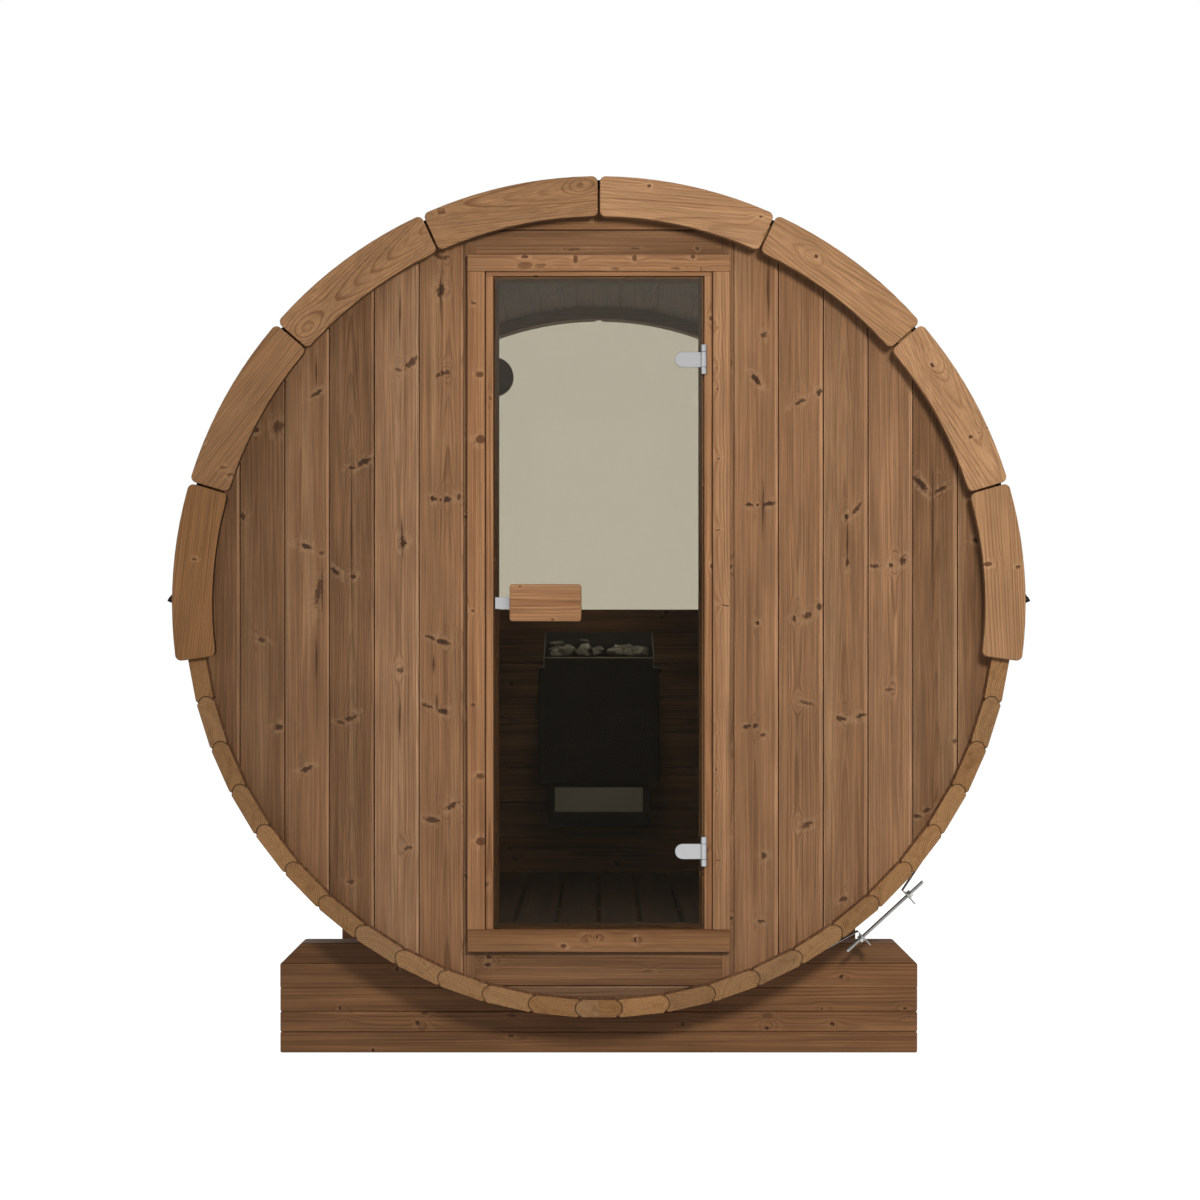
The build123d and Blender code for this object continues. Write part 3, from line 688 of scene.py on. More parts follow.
def plain_node(node, material, width, segments=2, edge=None):
    made = islands_of(node)
    for bm in made:
        soften(bm, width, segments, material=1 if edge else -1)
    materials = (material, edge) if edge else (material,)
    show(node + "_finish", made, materials, body_of_node[node], (node,))


def round_axes(bm):
    """A piece of the barrel: its angle from straight down, and the directions out from the axis and round it."""
    middle = centre_of(bm)
    angle = math.atan2(middle.x, AXIS_Z - middle.z)
    out = Vector((math.sin(angle), 0, -math.cos(angle)))
    return angle, out, Vector((math.cos(angle), 0, math.sin(angle)))


# Staves: grain along the barrel, rings seen on the ends
STAVE_EDGE = 0.0008
END_SKIN = 0.0013
# The beads and coves on the end of a stave: the largest face, and the radii between which they lie
JOINT_AREA, JOINT_INNER, JOINT_OUTER = 0.00012, 0.9535, 0.9925
# Angles between which the staves are darker, on the left: painted shade on the side away from the key light
SHADED_FROM, SHADED_TO = -115, -55


def staves(node):
    made = islands_of(node)
    for bm in made:
        angle, out, side = round_axes(bm)
        degrees = math.degrees(angle)
        rng = random.Random(f"stave {round(degrees)}")
        soften(bm, STAVE_EDGE, angle=30)
        bm.normal_update()
        ends = [f for f in bm.faces if abs(f.normal.y) > STRAIGHT]
        bmesh.ops.inset_individual(bm, faces=ends, thickness=END_SKIN, use_even_offset=True)
        if node == "base_stave":
            cut(bm, [f for f in bm.faces if abs(f.normal.y) > STRAIGHT], Vector(), X)
        pith = (rng.uniform(-0.04, 0.04), rng.choice((-1, 1, 1)) * rng.uniform(0.035, 0.13))
        found = wild_whorls(rng, FRONT, REAR, 0.045, 0.4)
        tone = rng.gauss(-0.14 if SHADED_FROM < degrees < SHADED_TO else -0.03, 0.09)
        warmth = rng.gauss(0.2, 0.35)
        as_timber(bm, CENTRE + out * STAVE_MIDDLE, Y, side, rng, tone, found, pith=pith, warmth=warmth)
        bm.normal_update()
        for f in bm.faces:
            middle = f.calc_center_median() - CENTRE
            if abs(f.normal.y) > STRAIGHT:
                f.material_index = 1
                # The base stave is glued from two halves
                if node == "base_stave":
                    add_mood(bm, [f], *((-0.16, 1.6, 0.37) if middle.x > 0 else (0.0, -0.6)))
                # The small bead and cove faces between the ends are darkened: painted shade in the gaps between
                # staves
                if f.calc_area() < JOINT_AREA and JOINT_INNER < middle.dot(out) < JOINT_OUTER:
                    add_mood(bm, [f], -0.5)
            # The slanted edge faces along each joint are darkened more: painted shade in the gaps between staves
            elif abs(f.normal.y) > 0.15 and abs(f.normal.dot(side)) > 0.3:
                add_mood(bm, [f], -0.75)
            # The inner faces ahead of the end walls are darker: painted shade on the inner lip
            elif f.normal.dot(out) < -0.7 and abs(middle.y) > -WALL_FRONT:
                add_mood(bm, [f], -0.25)
    show(node + "_timber", made, (stave_wood, stave_end), "barrel", (node,), 32)


for node in ("base_stave", "key_stave"):
    staves(node)
for side, turn in itertools.product(("left", "right"), ("odd", "even")):
    staves(f"{side}_staves_{turn}")


# Trim rings: each curved piece is cut from a straight board, so its grain follows the chord.
# The pieces run from the lower left round the top to the lower right, and each has a tone, a warmth, the pith
# (across, through) and its lean (across, through). The tones are partly each piece's own and partly painted shade,
# lower on the lower left, away from the key light
RING_PITCH = 24.5
RING_MIDDLE, RING_HALF_LENGTH, RING_HALF_WIDTH = 0.972, 0.21, 0.06
RING_PIECES = (
    (-0.5, 3.0, (0.075, 0.03), (0.04, 0.0)),
    (-0.4, 1.3, (0.06, 0.035), (0.16, 0.02)),
    (-0.28, 0.8, (-0.012, 0.03), (-0.02, 0.1)),
    (-0.3, 0.9, (0.02, 0.026), (0.05, 0.06)),
    (0.05, 0.0, (-0.05, 0.05), (-0.1, 0.02)),
    (-0.14, 0.4, (0.0, 0.028), (-0.03, 0.03)),
    (0.0, 0.1, (0.012, 0.026), (0.02, -0.07)),
    (-0.12, 0.4, (-0.07, 0.03), (0.03, 0.0)),
)
# Knots of the front ring, in millimetres and degrees:
# (across, height, half width, half length, tilt, darkness, reach of the bent grain)
front_ring_knots = [
    [(-966, 1207, 5.5, 3.5, 0, 0.8, 10)],
    [(-944, 1490, 3.5, 6, 0, 1.0, 12)],
    [(-897, 1426, 8, 4.5, 35, 0.45, 10), (-880, 1409, 9, 5, 30, 0.5, 10)],
    [(-688, 1755, 3, 3, 0, 0.02, 38)],
    [(-43, 2106, 5, 5, 0, 0.05, 24)],
    [(-375, 2035, 6, 9, 0, 0.3, 12)],
    [(120, 2099, 5, 5.5, 0, 0.75, 10)],
    [(386, 2025, 3.5, 4.5, 0, 0.85, 14)],
    [(520, 1930, 4, 5, 0, 0.85, 22)],
    [(797, 1671, 4, 6, 0, 0.9, 28)],
    [(888, 1499, 5, 3.5, 0, 0.8, 9), (909, 1509, 3, 2, 0, 0.7, 9), (928, 1521, 3, 3, 0, 0.7, 9)],
    [(929, 1195, 9, 5, 0, -0.9, 16), (1002, 1189, 6, 4, 0, 0.75, 16)],
]


def trim_ring(node, knots=None):
    made = islands_of(node)
    for index, bm in enumerate(made):
        middle = centre_of(bm)
        _, out, side = round_axes(bm)
        rng = random.Random(f"{node} ring {index}")
        soften(bm, 0.0028, 3, 30)
        origin = CENTRE + out * RING_MIDDLE + Y * middle.y
        found = eye_knots(rng, -0.2, 0.2, 0.04, 0.4, 0.004, 0.007)
        if knots is not None:
            found = []
            for whorl in knots:
                row = []
                for x, z, u, v, tilt, dark, bend in whorl:
                    at = Vector((x / 1000, origin.y, z / 1000)) - origin
                    row.append((at.dot(side), at.dot(out), u / 1000, v / 1000, tilt, dark, bend / 1000))
                if abs(row[0][0]) < RING_HALF_LENGTH and abs(row[0][1]) < RING_HALF_WIDTH:
                    found.append(row)
        step = round(math.degrees(math.atan2(middle.x, middle.z - AXIS_Z)) / RING_PITCH + 3.5)
        tone, warmth, pith, lean = RING_PIECES[step]
        as_timber(bm, origin, side, out, rng, tone, found, pith=pith, warmth=warmth, lean=lean)
        # The inner edge is darkened: painted shade on the ring's underside and inner side
        bm.normal_update()
        add_mood(bm, [f for f in bm.faces if f.normal.dot(out) < -0.75], -0.45)
    show(node + "_timber", made, (trim_wood,), "barrel", (node,), 40)


trim_ring("front_trim_ring", front_ring_knots)
trim_ring("rear_trim_ring")


# Tongue and groove boards of the end walls. The groove between two boards has a wide flank on one side and a steep
# flank on the other, on both faces, and a thin slot runs on from its bottom to the tongue, where the boards meet.
FLANK_WIDE, FLANK_STEEP = 0.0052, 0.0014
GROOVE_DEPTH, SLOT_DEPTH, TONGUE_DEPTH = 0.0036, 0.012, 0.014
GROOVE_ROUND, SLOT_HALF = 0.0008, 0.0011
FACE_PARTS = 14


def section_board(low, high, wide_low, wide_high, face, back, wide=FLANK_WIDE):
    """Outline across a board, from its lower edge to its higher edge and back: (across, depth)."""
    def flank(edge, towards, width, skin, s):
        start = edge + towards * SLOT_HALF
        return [
            (edge, skin + s * TONGUE_DEPTH),
            (start, skin + s * SLOT_DEPTH),
            (start, skin + s * (GROOVE_DEPTH + 0.0006)),
            (start + towards * width * 0.45, skin + s * GROOVE_DEPTH * 0.56),
            (start + towards * (width - GROOVE_ROUND), skin + s * GROOVE_ROUND * 0.75),
            (start + towards * (width + GROOVE_ROUND * 0.4), skin + s * GROOVE_ROUND * 0.12),
            (start + towards * (width + GROOVE_ROUND * 1.6), skin),
        ]

    def side(skin, s):
        first = flank(low, 1, wide if wide_low else FLANK_STEEP, skin, s)
        last = flank(high, -1, wide if wide_high else FLANK_STEEP, skin, s)[::-1]
        start, stop = first[-1][0], last[0][0]
        plain = [(start + (stop - start) * i / FACE_PARTS, skin) for i in range(1, FACE_PARTS)]
        return first + plain + last
    s = 1 if back > face else -1
    return side(face, s) + side(back, -s)[::-1]


def board(section, ends, place):
    """Runs an outline between ends(across) -> (low, high); place(across, depth, along) gives the point."""
    return loft([[place(u, v, ends(u)[end]) for u, v in section] for end in (0, 1)])


def pale_and_lit_flanks(bm, across, gain):
    """The wide flank of the groove is paler than the face: partly a paler tone of the wood, partly a painted
    highlight where the key light catches it.
    """
    bm.normal_update()
    flanks = [f for f in bm.faces if abs(f.normal.dot(across)) > 0.2 and abs(f.normal.y) > 0.6]
    add_mood(bm, flanks, gain, -1.2)


def half_chord(away):
    """Half the width of the round end wall at a distance from its middle, with its seat in the groove."""
    return math.sqrt(max(1e-6, (WALL_RADIUS + WALL_FIT) ** 2 - away * away))


# Whorls of the front boards, in millimetres and degrees:
# (across, height, half size across, half size up, tilt, darkness)
front_whorls = [
    [(-386, 1940, 9.7, 4.8, -25, 0.6), (-370, 1940, 7.3, 4.8, 30, 0.5)],
    [(-382, 1861, 9.7, 14.5, 0, 0.95)],
    [(-389, 1655, 7.3, 4.8, 30, 0.7), (-377, 1660, 7.3, 6, 0, 0.8), (-365, 1662, 7.3, 4.8, -20, 0.6)],
    [
        (-399, 1355, 9.7, 6, -10, 0.95),
        (-383, 1353, 3.6, 3.6, 0, 0.8),
        (-367, 1354, 9.7, 6, 5, 0.9),
        (-338, 1360, 4.8, 7.3, 0, 0.7),
    ],
    [(-408, 1021, 14.5, 4.8, -25, 0.7), (-377, 1009, 14.5, 7.3, -15, 0.9)],
    [(-413, 854, 14.5, 4.8, -25, 0.7), (-379, 842, 12.1, 7.3, -10, 0.9)],
    [(-403, 579, 19.3, 6, -10, 0.7), (-355, 613, 19.3, 6, 25, 0.8)],
    [(-486, 1667, 9.7, 4.8, -20, 0.6), (-454, 1684, 21.8, 7.3, 45, 0.7)],
    [(-474, 1249, 8.5, 12.1, 0, 1)],
    [(-481, 941, 9.7, 7.3, 0, 0.6)],
    [(-461, 511, 9.7, 4.8, 20, 0.6)],
    [(-599, 1430, 9.7, 4.8, 0, 0.8), (-568, 1445, 19.3, 7.3, 25, 0.85)],
    [(-638, 1181, 14.5, 6, -35, 0.9), (-594, 1168, 6, 6, 30, 0.9)],
    [(-626, 816, 9.7, 4.8, -20, 0.5), (-602, 825, 14.5, 7.3, 20, 0.7)],
    [(-599, 429, 9.7, 4.8, 0, 0.5)],
    [(-682, 1611, 16.9, 4.8, 30, 0.8)],
    [(-708, 1241, 16.9, 6, -15, 0.9), (-669, 1224, 7.3, 4.8, 0, 0.5)],
    [(-679, 1130, 7.3, 33.9, -12, 0.6)],
    [(-706, 702, 14.5, 6, 20, 0.8)],
    [(-829, 1522, 7.3, 6, 0, 0.8), (-776, 1529, 12.1, 14.5, 0, 0.5)],
    [(-861, 1312, 7.3, 9.7, 0, 0.6)],
    [(-815, 1014, 12.1, 4.8, -20, 0.6)],
    [(-773, 804, 9.7, 7.3, 0, 0.8)],
    [(400, 1752, 7.3, 7.3, 0, 0.6)],
    [(380, 1645, 16.9, 6, -50, 0.9)],
    [(366, 1341, 9.7, 6, -10, 0.9), (383, 1341, 3.6, 3.6, 0, 0.8), (412, 1343, 16.9, 6, 5, 0.9)],
    [(383, 1055, 4.8, 4.8, 0, 1)],
    [(358, 804, 9.7, 4.8, 20, 0.8), (378, 806, 7.3, 4.8, -10, 0.8), (397, 784, 7.3, 4.8, 40, 0.7)],
    [(400, 492, 7.3, 7.3, 0, 0.7)],
    [(392, 334, 7.3, 4.8, 0, 0.7)],
    [(487, 1590, 16.9, 4.8, 25, 0.7), (533, 1614, 9.7, 7.3, 40, 0.8)],
    [(472, 1065, 6, 6, 0, 0.8), (506, 1074, 12.1, 7.3, 35, 0.7), (535, 1094, 7.3, 9.7, 0, 0.8)],
    [(501, 862, 19.3, 4.8, -15, 0.5)],
    [(504, 567, 16.9, 6, 20, 0.6)],
    [(600, 1312, 4.8, 7.3, 0, 1), (624, 1333, 19.3, 4.8, 52, 0.7)],
    [(600, 1200, 4.8, 9.7, 0, 0.8)],
    [(586, 823, 12.1, 6, -15, 0.8), (632, 830, 12.1, 6, 20, 0.8)],
    [(593, 388, 9.7, 6, 10, 0.7)],
    [(666, 1193, 14.5, 4.8, 0, 0.7), (707, 1195, 6, 6, 0, 0.9), (736, 1205, 12.1, 7.3, 55, 0.8)],
    [(702, 893, 9.7, 4.8, 10, 0.5)],
    [(779, 1391, 21.8, 7.3, -50, 0.9), (825, 1377, 19.3, 4.8, 30, 0.8)],
    [(770, 588, 9.7, 4.8, -10, 0.7), (794, 603, 12.1, 4.8, 20, 0.7)],
    [(910, 1256, 7.3, 7.3, 0, 0.7)],
    [(862, 770, 7.3, 7.3, 0, 0.7)],
]
# Heart lines of the front boards: (across, low, high)
front_hearts = [
    (-382, 1757, 1940),
    (-481, 1708, 1890),
    (-476, 1195, 1333),
    (-598, 1014, 1517),
    (-684, 1609, 1715),
    (-669, 1050, 1224),
    (602, 1171, 1328),
    (807, 1050, 1534),
    (-391, 830, 893),
    (397, 1244, 1425),
    (409, 1764, 1957),
    (-481, 740, 915),
    (-683, 890, 1045),
    (-400, 925, 985),
]
# Tone and warmth of the front boards, from the door outwards, and the width and gain of their wide flanks. The tones
# are partly each board's own and partly painted shade, lower on the outer boards near the ring; the gain is partly a
# paler tone and partly a painted highlight, stronger on the right, where the key light falls
FRONT_BOARDS = {
    -1: ((0.0, 0.4), (0.15, -0.6), (-0.33, 0.5), (-0.08, 0.2), (-0.32, 0.6), (-0.29, 0.4)),
    1: ((0.05, 0.3), (-0.01, 0.3), (-0.04, 0.2), (0.18, -0.2), (-0.26, 0.5), (-0.24, 0.4)),
}
FRONT_FLANKS = {-1: (FLANK_WIDE, 0.5), 1: (0.0082, 0.68)}
# Joint of the front boards whose wide flank is on the right
PALE_RIGHT = -0.76


def front_panel(side, node):
    made = []
    far = BOARD_START
    wide, gain = FRONT_FLANKS[side]
    for index, (tone, warmth) in enumerate(FRONT_BOARDS[side]):
        edge, far = far, min(far + BOARD_PITCH, WALL_RADIUS - EDGE_GAP)
        low, high = sorted((side * edge, side * far))
        rng = random.Random(f"front board {side} {index}")
        wide_low, wide_high = abs(low - PALE_RIGHT) < 0.02, abs(high - PALE_RIGHT) >= 0.02
        section = section_board(low, high, wide_low, wide_high, WALL_FRONT, WALL_BACK, wide)
        bm = board(
            section, lambda u: (AXIS_Z - half_chord(u), AXIS_Z + half_chord(u)), lambda u, v, w: Vector((u, v, w))
        )
        middle = Vector(((low + high) / 2, (WALL_FRONT + WALL_BACK) / 2, AXIS_Z))
        found = placed([w for w in front_whorls if low < w[0][0] / 1000 < high], middle, "Z")
        lines = [
            (a / 1000 - middle.z, b / 1000 - middle.z, x / 1000 - middle.x)
            for x, a, b in front_hearts
            if low < x / 1000 < high
        ]
        pith = (rng.uniform(-0.02, 0.02), rng.choice((-1, 1)) * rng.uniform(0.008, 0.03))
        lean = (0.0, (-1) ** index * (0.007 + 0.003 * (index % 3)))
        as_timber(bm, middle, Z, X, rng, tone, found, lines, pith, warmth, lean)
        pale_and_lit_flanks(bm, X, gain)
        made.append(bm)
    show(node + "_boards", made, (wall_wood,), "barrel", (node,), 25)


front_panel(-1, "front_wall_left")
front_panel(1, "front_wall_right")


def level_boards(node, joints, half, face, back, seed, tone=0.0, knots=None, wide_high=False, pale=0.3):
    """Level boards between the given heights; each runs half to both sides, or to the edge of the wall."""
    made = []
    for index, (low, high) in enumerate(zip(joints, joints[1:])):
        rng = random.Random(f"{seed} {index}")

        def ends(u):
            width = min(half, half_chord(u - AXIS_Z))
            return -width, width
        section = section_board(low, high, not wide_high, wide_high, face, back)
        bm = board(section, ends, lambda u, v, w: Vector((w, v, u)))
        middle = Vector((0, (face + back) / 2, (low + high) / 2))
        found = wild_whorls(rng, -half, half, (high - low) * 0.42, 0.4)
        if knots is not None:
            found = placed([w for w in knots if low < w[0][1] / 1000 < high], middle, "X")
        as_timber(bm, middle, X, Z, rng, tone + rng.gauss(0, 0.05), found)
        pale_and_lit_flanks(bm, Z, pale)
        made.append(bm)
    show(node + "_boards", made, (wall_wood,), "barrel", (node,), 25)


header_knots = [[(-60, 1959, 22, 3, 0, 0.35)], [(238, 1962, 5, 4, 0, 0.6)], [(90, 1961, 12, 2.5, 0, 0.35)]]
sill_knots = [[(-267, 248, 7, 6, 0, 0.95), (-270, 229, 7, 5, 0, 0.85)], [(120, 214, 12, 3, 0, 0.3)]]
top = AXIS_Z + WALL_RADIUS - EDGE_GAP
bottom = AXIS_Z - WALL_RADIUS + EDGE_GAP
level_boards(
    "front_wall_header", [FRAME_TOP, HEADER_JOINT, top], FRAME_HALF, WALL_FRONT, WALL_BACK, "header", -0.05,
    header_knots, True,
)
# The sill boards are darker, as painted shade low on the wall, and their downward wide flanks get a stronger painted
# highlight
level_boards(
    "front_wall_sill", [bottom, SILL_JOINT, FRAME_BOTTOM], FRAME_HALF, WALL_FRONT, WALL_BACK, "sill", -0.32,
    sill_knots, pale=0.75,
)
count = int((RAIL_BOTTOM - bottom) / BOARD_PITCH)
rear_joints = [bottom] + [RAIL_BOTTOM - BOARD_PITCH * k for k in reversed(range(count))]
level_boards("rear_wall_boards", rear_joints, WALL_RADIUS, -WALL_FRONT, -WALL_BACK, "rear")

# Other timber
timber_node("front_wall_posts", "ZX", *WALL, 0.0014, own=((-0.15, 0.3), (-0.1, 0.2)))
timber_node("door_frame_sides", "ZX", *PLANED, 0.0014, eyes=(0.5, 0.003, 0.006), own=((-0.07, 0.3),) * 2)
for node in ("door_frame_head", "door_frame_sill"):
    timber_node(node, "XZ", *PLANED, 0.0014, eyes=(0.4, 0.003, 0.006))
for node, axes, each in (("door_side_stops", "ZX", 0.5), ("door_cross_stops", "XZ", 0.4)):
    timber_node(node, axes, *PLANED, 0.001, eyes=(each, 0.002, 0.004), own=((-0.55, 0.6),) * 2)
# Knots listed as on the front boards
left_casing_knots = [
    [(-302, 1826, 6, 4.3, -10, 0.6)],
    [(-286.7, 1654, 8.5, 6.4, 0, -0.85)],
    [(-284.5, 1498, 10.6, 9, 0, -0.9)],
    [(-272.5, 1343, 3, 3, 0, 0.6)],
    [(-304, 1084, 5, 4, 20, 0.6), (-273.7, 1088, 3, 2.4, 0, 0.6)],
    [(-303, 857, 6, 4, -10, 0.6)],
    [(-285.7, 686, 8.7, 6, 0, -0.85)],
    [(-284, 528, 11, 8.7, 0, -0.9)],
    [(-272, 374, 3, 3, 0, 0.6)],
]
right_casing_knots = [
    [(287, 1766, 2, 2, 0, 0.8)],
    [(283.5, 1670, 2, 2.4, 0, 0.7)],
    [(285.7, 1619, 2.6, 2.6, 0, 0.7)],
    [(288.4, 1451, 6, 1.8, 12, 0.7)],
    [(287.4, 1279, 7, 1.8, 10, 0.7)],
    [(306, 1097, 13, 1.8, -14, 0.8)],
    [(286.4, 798, 2.2, 2.2, 0, 0.8)],
    [(283.6, 701, 2.8, 3, 0, 0.7)],
    [(285, 650, 2.2, 2.2, 0, 0.7)],
    [(287.4, 483, 6, 1.8, 12, 0.7)],
]
bottom_casing_knots = [
    [(-85, 276, 6.4, 4.8, 0, -0.9)],
    [(-30, 290, 5, 10, 25, 0.25)],
    [(-4, 298, 2.9, 5, 0, 0.9)],
    [(88, 291, 2.9, 6, 0, 0.9)],
]
top_casing_knots = [
    [(-178, 1917, 17, 8, 0, -0.45), (-178, 1938, 7.7, 4, 0, -0.9)],
    [(-140, 1916, 15, 6, 0, 0.3)],
    [(-56, 1932, 5.2, 9, 0, -0.8)],
    [(36, 1909, 12, 3.5, 0, 0.35)],
    [(86, 1935, 5.5, 6.5, 0, -0.8)],
    [(186, 1910, 12, 3.5, 0, 0.35)],
    [(227, 1938, 5, 4.5, 0, -0.8)],
    [(246, 1907, 2, 7, 0, 0.5)],
]
cradle_knots = [
    [(-496, 205, 4, 8, 0, 0.95)],
    [(596, 187, 5, 6.5, 0, 0.95)],
    [(-636, 110, 5, 4, 0, 0.9)],
    [(549, 109, 3, 5, 0, 0.7)],
    [(751, 109, 6, 3, 0, 0.9)],
    [(-626, 88, 2.2, 1.6, 0, 0.7)],
    [(-446, 74, 5, 5, 0, 0.95), (-428, 98, 8, 4, 0, -0.6)],
    [(-214, 92, 9, 4, 0, -0.5)],
    [(206, 71, 4, 6, 0, 0.8)],
    [(412, 60, 6, 5, 0, 0.95), (414, 91, 14, 6, 0, -0.3)],
    [(574, 72, 5, 5, 0, 0.95)],
    [(761, 89, 2.2, 1.6, 0, 0.7)],
    [(-555, 6, 4, 4.5, 0, 0.95)],
    [(-217, 42, 7, 4, 0, 0.6)],
]
handle_knots = [[(-189, 1142, 4, 2.6, 0, -0.6)], [(-110, 1063, 4.5, 2.8, 0, -0.7)]]
# The bottom casing is darker than the top one: painted shade low on the door
for node, axes, own in (
    ("door_side_casings", "ZX", ((-0.1, 0.4, left_casing_knots), (-0.12, -0.4, right_casing_knots))),
    ("door_cross_casings", "XZ", ((-0.46, 1.6, bottom_casing_knots), (-0.13, 0.1, top_casing_knots))),
):
    timber_node(node, axes, *PLANED, 0.0022, 3, None, own=own)
timber_node("eaves_battens", "YX", *STAVE, 0.0012)
cradle_tones = {"odd": ((-0.2, 0.7), (0.11, 0.2), (0.08, 0.3)), "even": ((0.05, 0.3), (0.13, 0.2))}
# The front cradle grows lighter towards the right along x: painted light from the key lamp on that side
for end, marks, light_drift in (("front", cradle_knots, 0.17), ("rear", (), 0.0)):
    for turn, own in cradle_tones.items():
        timber_node(
            f"{end}_cradle_{turn}_timbers", "XZ", cradle_wood, "cradle_wood", 0.004, 3, 0.4, own=own, marks=marks,
            light_drift=light_drift,
        )
timber_node("rear_window_rail", "XZ", *WALL, 0.0018)
timber_node("rear_window_arch", "XZ", *WALL, 0.0012, own=((0.4, -0.4),) * 4)
timber_node("floor_slats", "YX", *WALL, 0.003, 3, 0.35, own=((-0.4, 0.3),) * 12)
timber_node("floor_bearers", "XZ", *WALL, 0.001)
timber_node("door_handles", "XZ", *PLANED, 0.003, 4, None, spread=0.03, own=((-0.1, 0.2, handle_knots),))
timber_node("rear_vent", "XZ", vent_wood, "planed_wood", 0.0025, 3, None, spread=0.03)

# Glass and metal
pane("door_glass", bronze)
pane("rear_window_glass", clear)
plain_node("hinge_brackets", satin, 0.0012, edge=satin_shaded_edge)
plain_node("hinge_leaves", satin, 0.0018, 3, satin_shaded_edge)
plain_node("hinge_back_discs", satin, 0.001, 3, satin_shaded_edge)
plain_node("handle_fixings", satin, 0.0006)
plain_node("door_catch", satin, 0.0008)
plain_node("barrel_bands", steel, 0.0003, 1)
plain_node("heater_bracket", paint, 0.002)
plain_node("heater_panel", heater_steel, 0.0012)

# Threaded rods that draw the bands tight, with a washer and a hexagon nut outside each ear
ROD_TILT = 42.5
THREAD_PITCH, THREAD_ROOT, THREAD_CREST, THREAD_PARTS = 0.0015, 0.004, 0.0047, 14
ROD_CORE = 0.0039
# Radius, depth, distance from the rod's middle, sides and edge of the washer and the nut
ROD_ENDS = ((0.0115, 0.0022, 0.075, 36, 0.0004), (0.0095, 0.0082, 0.0772, 6, 0.0009))


def bar(place, radius, depth, sides, edge, angle):
    bm = bmesh.new()
    bmesh.ops.create_cone(
        bm, cap_ends=True, segments=sides, radius1=radius, radius2=radius, depth=depth, matrix=place
    )
    soften(bm, edge, angle=angle)
    return bm


def thread(place, half):
    """A root line and a crest line wound round the core, which fade out over the last turn."""
    bm = bmesh.new()
    low, high = [], []
    start = 0.9 * THREAD_ROOT
    count = int((2 * half - 2 * THREAD_PITCH) / THREAD_PITCH) * THREAD_PARTS
    for i in range(count + 1):
        a = math.tau * i / THREAD_PARTS
        share = min(1.0, min(i, count - i) / THREAD_PARTS)
        for line, radius, lead in ((low, THREAD_ROOT, 0.0), (high, THREAD_CREST, THREAD_PITCH / 2)):
            r = start + (radius - start) * share
            z = 0.0012 - half + THREAD_PITCH * i / THREAD_PARTS + lead
            line.append(bm.verts.new(place @ Vector((r * math.cos(a), r * math.sin(a), z))))
    for i in range(count):
        bm.faces.new((low[i], low[i + 1], high[i + 1], high[i]))
        j = i + THREAD_PARTS
        if j < count:
            bm.faces.new((high[i], high[i + 1], low[j + 1], low[j]))
    return bm


def threaded_rods():
    turn = math.radians(ROD_TILT)
    axes = Vector((math.sin(turn), 0, -math.cos(turn))), Y, Vector((math.cos(turn), 0, math.sin(turn)))
    made = []
    for solid in islands_of("tension_rods"):
        spans = [reach(solid, d) for d in axes]
        solid.free()
        half = (spans[2][1] - spans[2][0]) / 2
        place = Matrix(axes).transposed().to_4x4()
        place.translation = sum((d * (low + high) / 2 for d, (low, high) in zip(axes, spans)), Vector())
        made += [thread(place, half), bar(place, ROD_CORE, 2 * half, 20, 0.0006, 28)]
        for end, (radius, depth, start, sides, edge) in itertools.product((-1, 1), ROD_ENDS):
            shift = Matrix.Translation((0, 0, end * (start + depth / 2)))
            made.append(bar(place @ shift, radius, depth, sides, edge, 20))
    show("threaded_rods", made, (zinc,), "barrel", ("tension_rods",), 30)


threaded_rods()

# Heater housing: a pale rim round the basin, painted as a highlight along its top edges, and a seam across the front
RIM_HIGHLIGHT_LOW = 0.935
SEAM_LOW, SEAM_HIGH, SEAM_DEPTH = 0.8283, 0.8297, 0.0015


def heater_housing():
    made = islands_of("heater_body")
    for bm in made:
        # The bevels at the top take the pale rim paint: a painted highlight along the basin's edges
        soften(bm, 0.003, 3, material=1)
        for f in bm.faces:
            if f.calc_center_median().z < RIM_HIGHLIGHT_LOW:
                f.material_index = 0
        front = reach(bm, Y)[0]
        for z in (SEAM_LOW, SEAM_HIGH):
            cut(bm, [f for f in bm.faces if f.normal.y < -0.9], Z * z, Z)
        bm.normal_update()
        strip = []
        for f in bm.faces:
            middle = f.calc_center_median()
            if f.normal.y < -0.9 and middle.y < front + 0.004 and SEAM_LOW < middle.z < SEAM_HIGH:
                strip.append(f)
        bmesh.ops.inset_region(bm, faces=strip, thickness=0.0001, depth=-SEAM_DEPTH, use_even_offset=True)
    show("heater_housing", made, (paint, rim_paint_highlight), "barrel", ("heater_body",), 38)


heater_housing()

# Heater stones: broken rocks piled in the basin, higher at the back
ROCK_TIERS, ROCKS_ACROSS, ROCKS_DEEP = 3, 7, 5
PILE_FRONT, PILE_RISE, TIER_STEP = 0.984, 0.034, 0.038
ROCK_CORNERS = 17


